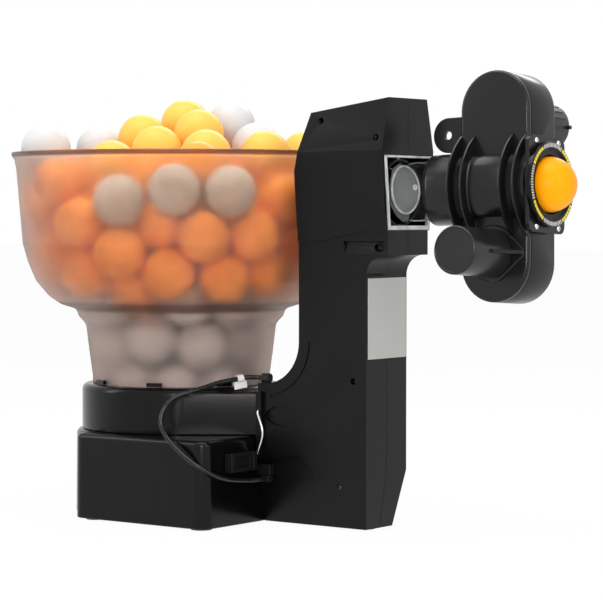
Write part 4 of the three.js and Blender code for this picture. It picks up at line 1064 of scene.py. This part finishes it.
# %% Case outlines
CASE_X, CASE_WIDE, CASE_HIGH = 92.75, 28.65, 84.0
CASE_NEAR, CASE_FAR, CASE_WALL, SEAM = -13.0, 25.7, 2.2, -8.0
MOTOR_Z, MOTOR_RADIUS = 48.7, 17.4
SHAFT_Z, SHAFT_HOLE = 44.1, 1.9
BORE = 21


def stadium(inset, y, steps=24):
    """An upright outline with round ends at depth y, in the head's own mm."""
    radius, straight = CASE_WIDE - inset, CASE_HIGH - CASE_WIDE
    return [(CASE_X + radius * math.cos(a), y, side * straight + radius * math.sin(a))
            for side, first in ((1, 0), (-1, math.pi))
            for a in (first + math.pi * k / steps for k in range(steps + 1))]


def head_tool(outlines):
    return stacked_piece("tool", outlines, HEAD)


def shaft_hole(z, low, high):
    """A tool for the hole that a motor's shaft runs through."""
    return rod(shifted(HEAD, CASE_X, 0, z), SHAFT_HOLE, low, high, "Y", 24)


print("case", 2 * CASE_WIDE, "mm wide and", 2 * CASE_HIGH, "mm high")

# %% [markdown]
# The barrel and its four crescent fins lie on the near face. Their sections across the head's
# axis are arcs with the same number of points, a flat ellipse for the barrel and a wide circle
# for a fin. One stack of such arcs along the axis makes them all, with a small fillet at the
# root of each fin.

# %% Barrel and fins
FINS, FIN_THICK = (64.1, 75.5, 108.0, 119.4), 2
FIN_CIRCLE, FIN_SPREAD = 44.6, math.asin(37.2 / 44.6)
ROOT, EDGE = ((1.8, 0), (0.7, 0.03), (0, 0.14)), ((0, 0.7), (0.2, 0.2), (0.7, 0))


def rib_section(x, fin, inset=0.0, points=36):
    """An arc between the barrel's section, at fin 0, and a fin's, at fin 1."""
    circle = FIN_CIRCLE - inset
    arc = []
    for k in range(points + 1):
        t = 2 * k / points - 1
        barrel = (-13 - 12 * math.cos(t * math.pi / 2), 22.6 * math.sin(t * math.pi / 2))
        wing = (11.6 - circle * math.cos(t * FIN_SPREAD), circle * math.sin(t * FIN_SPREAD))
        arc.append((x, (1 - fin) * barrel[0] + fin * wing[0], (1 - fin) * barrel[1] + fin * wing[1]))
    return [(x, -11.5, arc[0][2])] + arc + [(x, -11.5, arc[-1][2])]


def barrel_and_fins():
    way = []
    for first in FINS:
        last = first + FIN_THICK
        if first != FINS[0]:
            way += [rib_section(first - off, fin) for off, fin in ROOT]
        way += [rib_section(first + off, 1, inset) for off, inset in EDGE]
        way += [rib_section(last - off, 1, inset) for off, inset in reversed(EDGE)]
        if first != FINS[-1]:
            way += [rib_section(last + off, fin) for off, fin in reversed(ROOT)]
    return head_tool(way)


def motor_boss(y, inset):
    """The boss around the motor's foot, with a tail that runs to the front edge of the case."""
    radius, tail = 20.4 - inset, 119 - inset
    arc = [(CASE_X + radius * math.cos(a), y, -MOTOR_Z + radius * math.sin(a))
           for a in np.linspace(math.pi / 3, 1.6 * math.pi, 40)]
    return arc + [(tail, y, -MOTOR_Z - 3 + inset / 2), (tail, y, -MOTOR_Z + 3 - inset / 2)]


def guide_section(z, inset):
    """The web that tapers from the motor's side to the case."""
    z = -MOTOR_Z + z
    return [(109.6, -44 + inset, z), (112.2, -44 + inset, z), (113.4 - inset, -42, z),
            (119.5 - inset, -14.5, z), (118, -12, z), (109.6, -12, z)]


print(len(FINS), "fins and a barrel")

# %% Two shells
EAR_X, EAR_Z, EAR_RADIUS = 41.6, 41, 13


def tray(name, side, face, edge, added, holes):
    """One shell from its face to the seam, with parts added before it is hollowed and drilled."""
    rings = [stadium(inset, face - side * deep) for inset, deep in soft_edge(edge)]
    rings += [stadium(inset, SEAM + side * off) for inset, off in ((0, 1.0), (0.3, 0.35), (0.9, 0.15))]
    case = carve(stacked_piece(name, rings[::-side], HEAD), "UNION", *added)
    room = head_tool([stadium(CASE_WALL, y) for y in sorted((face - side * CASE_WALL, SEAM - side))])
    return carve(case, "DIFFERENCE", room, rod(HEAD, BORE, 60, 140, "X", 64), *holes)


def near_case():
    boss = head_tool([motor_boss(-16, 0.8), motor_boss(-15.2, 0), motor_boss(-12, 0)])
    guide = head_tool([guide_section(-1.5, 0.4), guide_section(-1.1, 0), guide_section(1.1, 0),
                       guide_section(1.5, 0.4)])
    return tray("near_case", -1, CASE_NEAR, 2.4, [barrel_and_fins(), boss, guide],
                [shaft_hole(-SHAFT_Z, -20, -5)])


def far_case():
    ear = [(EAR_X + EAR_RADIUS * math.cos(a), EAR_Z + EAR_RADIUS * math.sin(a))
           for a in np.linspace(math.pi / 2, 1.5 * math.pi, 30)] + [(65.5, 28), (65.5, 54)]
    flap = head_tool([[(EAR_X + (x - EAR_X) * size, y, EAR_Z + (z - EAR_Z) * size) for x, z in ear]
                      for y, size in ((5, 0.96), (5.5, 1), (7.5, 1), (8, 0.96))])
    ear_hole = rod(shifted(HEAD, EAR_X, 0, EAR_Z), 3.2, 0, 12, "Y", 32)
    return tray("far_case", 1, CASE_FAR, 2.6, [flap], [ear_hole, shaft_hole(SHAFT_Z, 10, 30)])


dress(near_case(), HEAD_BLACK, "head", "head_near_shell", slot="head_plastic")
dress(far_case(), HEAD_BLACK, "head", "head_far_shell", slot="head_plastic")

# %% [markdown]
# The cup between the column and the head bulges towards the column, more in plan than in height.
# It is a stack of rings around the head's axis: each ring of the back lies on an upright barrel,
# and the last rings are the round wall. The solid's tube reaches on into the window. Here it is
# clear, and the photograph shows a round port in it: a grey disc with a raised rim, on a plate
# with slanted sides.

# %% Cup, tube and port
CUP_RADIUS, CUP_FRONT, CUP_FLOOR, CUP_BORE = 26.2, 61.4, 44.7, 24.3
BULGE_X, BULGE_TALL, BULGE_OFF = 60, 51.5, 19.5


def cup_ring(radius, x=None, lift=0.0, steps=96):
    """A ring around the axis at x, or on the barrel of the back, lifted towards the front."""
    ring = []
    for a in np.linspace(0, 2 * math.pi, steps, endpoint=False):
        y, z = radius * math.cos(a), radius * math.sin(a)
        plan = math.sqrt(BULGE_TALL ** 2 - z * z) - BULGE_OFF
        ring.append((BULGE_X - math.sqrt(plan ** 2 - y * y) + lift if x is None else x, y, z))
    return ring


def swivel_cup():
    back = [cup_ring(r) for r in (1, 8, 15, 20, 23, CUP_RADIUS - 1.3)]
    edge = [cup_ring(CUP_RADIUS - r, lift=lift) for r, lift in ((0.6, 0.25), (0.15, 0.8), (0, 1.8))]
    front = [cup_ring(CUP_RADIUS, 52), cup_ring(CUP_RADIUS, CUP_FRONT - 0.8),
             cup_ring(CUP_RADIUS - 0.7, CUP_FRONT)]
    bores = [rod(TILT, radius, low, high, "X") for radius, low, high in
             ((22.8, 20, 42), (BORE, 40, 70), (CUP_BORE, CUP_FLOOR, 70))]
    return carve(stacked_piece("cup", back + edge + front, TILT), "DIFFERENCE", *bores)


TUBE = [(21, 7.4, 0.4), (22, 7.4, 0.4), (22, 41.8, 0.2), (21, 41.8, 0.2)]
DISC = [(0, 5.7, 0), (16.8, 5.7, 0), (16.8, 6.4, 0.2), (0, 6.4, 0)]
RIM = [(16.9, 5.7, 0), (18.2, 5.7, 0.3), (18.2, 7.3, 0.6), (16.9, 7.3, 0.5)]
EYELET = [(1.1, 6.4, 0), (2.3, 6.4, 0), (2.3, 7.6, 0.3), (1.1, 7.6, 0.3)]
PLATE = [(-14, 17.4), (-2.6, 22.3), (18.7, 4.5), (4.1, -22.1), (-2.5, -21.7), (-18.2, -9.1)]
disc_place, eyelet_place = shifted(TILT, 0, 0.9, 2), shifted(TILT, 0, 12.8, 4)

dress(swivel_cup(), HEAD_BLACK, "tilt", "swivel_cup", slot="head_plastic")
tube = turned_piece("clear_tube", TUBE, TILT, "X")
dress(tube, THIN_CLEAR, "tilt", "swivel_cup", slot="clear_plastic")
plate = stacked_piece("port_plate", [[(x, y, z) for y, z in PLATE] for x in (4.8, 5.6)], TILT)
dress(plate, MIST, "tilt", slot="clear_plastic")
# Painted highlight: the port's rim and eyelet are in the bright frosted plastic, partly as the highlights on
# them.
for name, corners, place, sides, finish in (("port_disc", DISC, disc_place, 96, PORT),
                                            ("port_rim", RIM, disc_place, 96, FROST_AND_GLINT),
                                            ("port_eyelet", EYELET, eyelet_place, 24, FROST_AND_GLINT)):
    dress(turned_piece(name, corners, place, "X", sides), finish, "tilt", slot="clear_plastic")

# %% Sleeve and front plate
def dress_copies(body, *rows):
    """Finished copies in place of solids: name, solid, edge in mm, finish and slot."""
    for name, solid, edge, finish, slot in rows:
        dress(finished_copy(name, solid, edge), finish, body, solid, slot=slot)


dress_copies("head", ("sleeve", "roll_sleeve", 0.5, HEAD_BLACK, "head_plastic"),
             ("front_plate", "mouth_plate", 0.7, HEAD_BLACK, "head_plastic"))

# %% [markdown]
# ## Motors
# Each motor is a round can beside the case. The lower one ends in a flat disc with a raised rim.
# The upper one shows ribs along its side and a short stub of its shaft. The ribs repeat, so
# Geometry Nodes set one rounded bar around the can.

# %% Motor cans
LOWER_END = [(17.4, 0, 1.6), (15.9, 0, 0.5), (15.5, -0.7, 0.2), (0, -0.7, 0)]
UPPER_END = [(17.4, -2.4, 1.2), (14.6, 0, 0.8), (4.4, 0, 0.3), (4.4, 0.9, 0.4), (2.2, 0.9, 0.2),
             (2.2, 3.4, 0.6), (0, 3.4, 0)]


def motor_can(name, side, near, far, ending):
    """A can from its foot to its outer ending of (radius, along, rounding) corners."""
    corners = [(0, near, 0), (MOTOR_RADIUS, near, 0.8)]
    corners += [(radius, far + side * along, rounding) for radius, along, rounding in ending]
    can = turned_piece(name, corners, shifted(HEAD, CASE_X, 0, side * MOTOR_Z), "Y", 64)
    low, high = sorted((near - side, near + side * 6.3))
    return carve(can, "DIFFERENCE", shaft_hole(side * SHAFT_Z, low, high))


lower = motor_can("lower_can", -1, -16.3, -65, LOWER_END)
upper = motor_can("upper_can", 1, 26.0, 66.6, UPPER_END)
carve(upper, "UNION", rod(shifted(HEAD, 0, 61.5, MOTOR_Z - 1), 1.5, CASE_X + 10, CASE_X + 20.2, "X", 20))
dress(lower, MOTOR, "head", "lower_motor", slot="motor_paint")
dress(upper, MOTOR, "head", "upper_motor", slot="motor_paint")

# %% Ribs on the upper motor
def motor_ribs():
    """Flat bars along the can, set around it by Geometry Nodes."""
    half = 13.6
    bar = stacked_piece("rib_pattern", [[(-x, -half, z), (x, -half, z), (x, half, z), (-x, half, z)]
                                        for z, x in ((-0.4, 1.0), (0.2, 1.0), (0.5, 0.6))])
    g = Growth("motor_ribs", count=20, radius=MOTOR_RADIUS * MM, pattern=bar, finish=MOTOR)
    flat = g.facing("Z", g.outwards())
    along = g.out("FunctionNodeAlignRotationToVector", {"Rotation": flat, "Vector": (0, 0, 1)},
                  axis="Y", pivot_axis="Z")
    ribs = g.grow("motor_ribs", g.set_on(g.circle(), g.pattern(), along))
    ribs.data.transform(shifted(HEAD, CASE_X, 45.6, MOTOR_Z) @ Matrix.Rotation(math.pi / 2, 4, "X"))
    return ribs


dress(motor_ribs(), MOTOR, "head", slot="motor_paint")

# %% Mouth ring
RING = [(21.2, 129.8, 0.3), (30.5, 129.8, 0.4), (30.5, 134.2, 0.9), (25.6, 134.2, 0.4),
        (24.4, 132.6, 0.4), (21.2, 132.6, 0.6)]
dress(turned_piece("scale_ring", RING, HEAD, "X"), BLACK, "head", "mouth_ring", slot="black_plastic")


def ring_marks(name, count, long, wide, low, high, finish):
    """Small raised bars around the ring by Geometry Nodes, in four sectors that lie alike."""
    g = Growth("ring_marks", count=count, radius=0.0282, long=long, wide=wide, low=low, high=high,
               thick=0.00015, finish=finish)
    place = g.node("ShaderNodeSeparateXYZ", {0: g.outwards()}).outputs
    angle = g.out("ShaderNodeMath", {0: place["Y"], 1: place["X"]}, operation="ARCTAN2")
    sector = g.out("ShaderNodeMath", {0: angle, 1: math.pi / 2}, operation="FLOORED_MODULO")
    above = g.out("FunctionNodeCompare", {0: sector, 1: g.start["low"]}, operation="GREATER_THAN")
    below = g.out("FunctionNodeCompare", {0: sector, 1: g.start["high"]}, operation="LESS_THAN")
    both = g.out("FunctionNodeBooleanMath", {0: above, 1: below}, operation="AND")
    bar = g.box("long", "wide", "thick")
    marks = g.grow(name, g.set_on(g.circle(), bar, g.facing("X", g.outwards()), Selection=both))
    marks.data.transform(shifted(HEAD, 134.25) @ Matrix.Rotation(math.pi / 2, 4, "Y"))
    dress(marks, finish, "head", slot="white_plastic")


ring_marks("ring_ticks", 92, 0.0028, 0.0008, -0.01, 0.42, WHITE)
ring_marks("ring_ticks_b", 92, 0.0028, 0.0008, 1.15, 1.6, WHITE)
ring_marks("ring_bars", 60, 0.0024, 0.0024, 0.5, 1.07, YELLOW)

# %% [markdown]
# ## Window, label and small parts
# The window box, the label plate, the sockets, the gland, the plug and the tag are finished
# copies with small roundings. The latch is drawn wire, bent outwards between two holes.

# %% Small parts
def window_rim():
    """The front rim of the window box, wider than its wall and bright: partly its frosted edge, partly
    painted highlight.
    """
    def frame(inset, x):
        low, top = 26.1 - inset, 30.9 - inset
        floor, roof = 226.4 + inset * 1.8, 281.6 - inset * 0.8
        return [(x, -low, floor), (x, low, floor), (x, top, roof), (x, -top, roof)]
    rim = stacked_piece("window_rim", [frame(0, 48.2), frame(0, 50.2), frame(0.3, 50.5)], STAND)
    return carve(rim, "DIFFERENCE", stacked_piece("tool", [frame(1.8, x) for x in (47, 52)], STAND))


dress(window_rim(), FROST_AND_GLINT, "stand", "clear_window", slot="clear_plastic")
dress_copies("stand", ("window_box", "clear_window", 0.5, CLEAR, "clear_plastic"),
             ("label_sheet", "label_plate", 0.25, SILVER, "silver_plate"),
             ("block_socket", "power_socket", 0.3, SOCKET, "inner_plastic"),
             ("elbow_socket", "lead_socket", 0.3, SOCKET, "inner_plastic"),
             ("gland", "lead_gland", 0.3, RUBBER, "rubber"),
             ("plug", "lead_plug", 0.3, SOCKET, "inner_plastic"),
             ("tag", "lead_tag", 0.3, WHITE, "white_plastic"))

# %% Wire latch and lead
LATCH = [(-69.1, -26.5, 88), (-69.1, -29.5, 88), (-68.1, -31.5, 86), (-62.6, -32.5, 71),
         (-68.1, -31.5, 56), (-69.1, -29.5, 54), (-69.1, -26.5, 54)]
latch = tube_along("latch", smooth_way([spot(*p) for p in LATCH], 8), 1.0 * MM)
dress(latch, WIRE, "stand", "wire_latch", slot="steel")
dress(lead, LEAD_SKIN, "stand", "sensor_lead", slot="rubber")
way_length(lead_way)

# %% [markdown]
# ## Solids that keep their shape
# The inner parts are hidden in most views, or seen through the window and the mouth. Their
# solids are right as they are, so they only get their finish.

# %% Finishes of the remaining solids
KEPT = (
    (INNER, "base_plate star_wheel star_cap feeder_gearbox ball_duct swing_ring"),
    (INNER, "upper_wheel_hub lower_wheel_hub"),
    (BOARD, "circuit_board"),
    (STEEL, "feeder_shaft swing_pin swing_shaft tilt_pin_near tilt_pin_far"),
    (STEEL, "upper_motor_shaft lower_motor_shaft"),
    (CAN, "feeder_motor swing_motor"),
    (WHITE, "swing_gear swing_pinion"),
    (FOAM, "upper_tyre lower_tyre"),
    (RUBBER, "rubber_foot_1 rubber_foot_2 rubber_foot_3 rubber_foot_4 rubber_foot_5"),
)
for material, names in KEPT:
    for name in names.split():
        nodes[name].data.materials.clear()
        nodes[name].data.materials.append(material)
    print(names, "in", material.name)
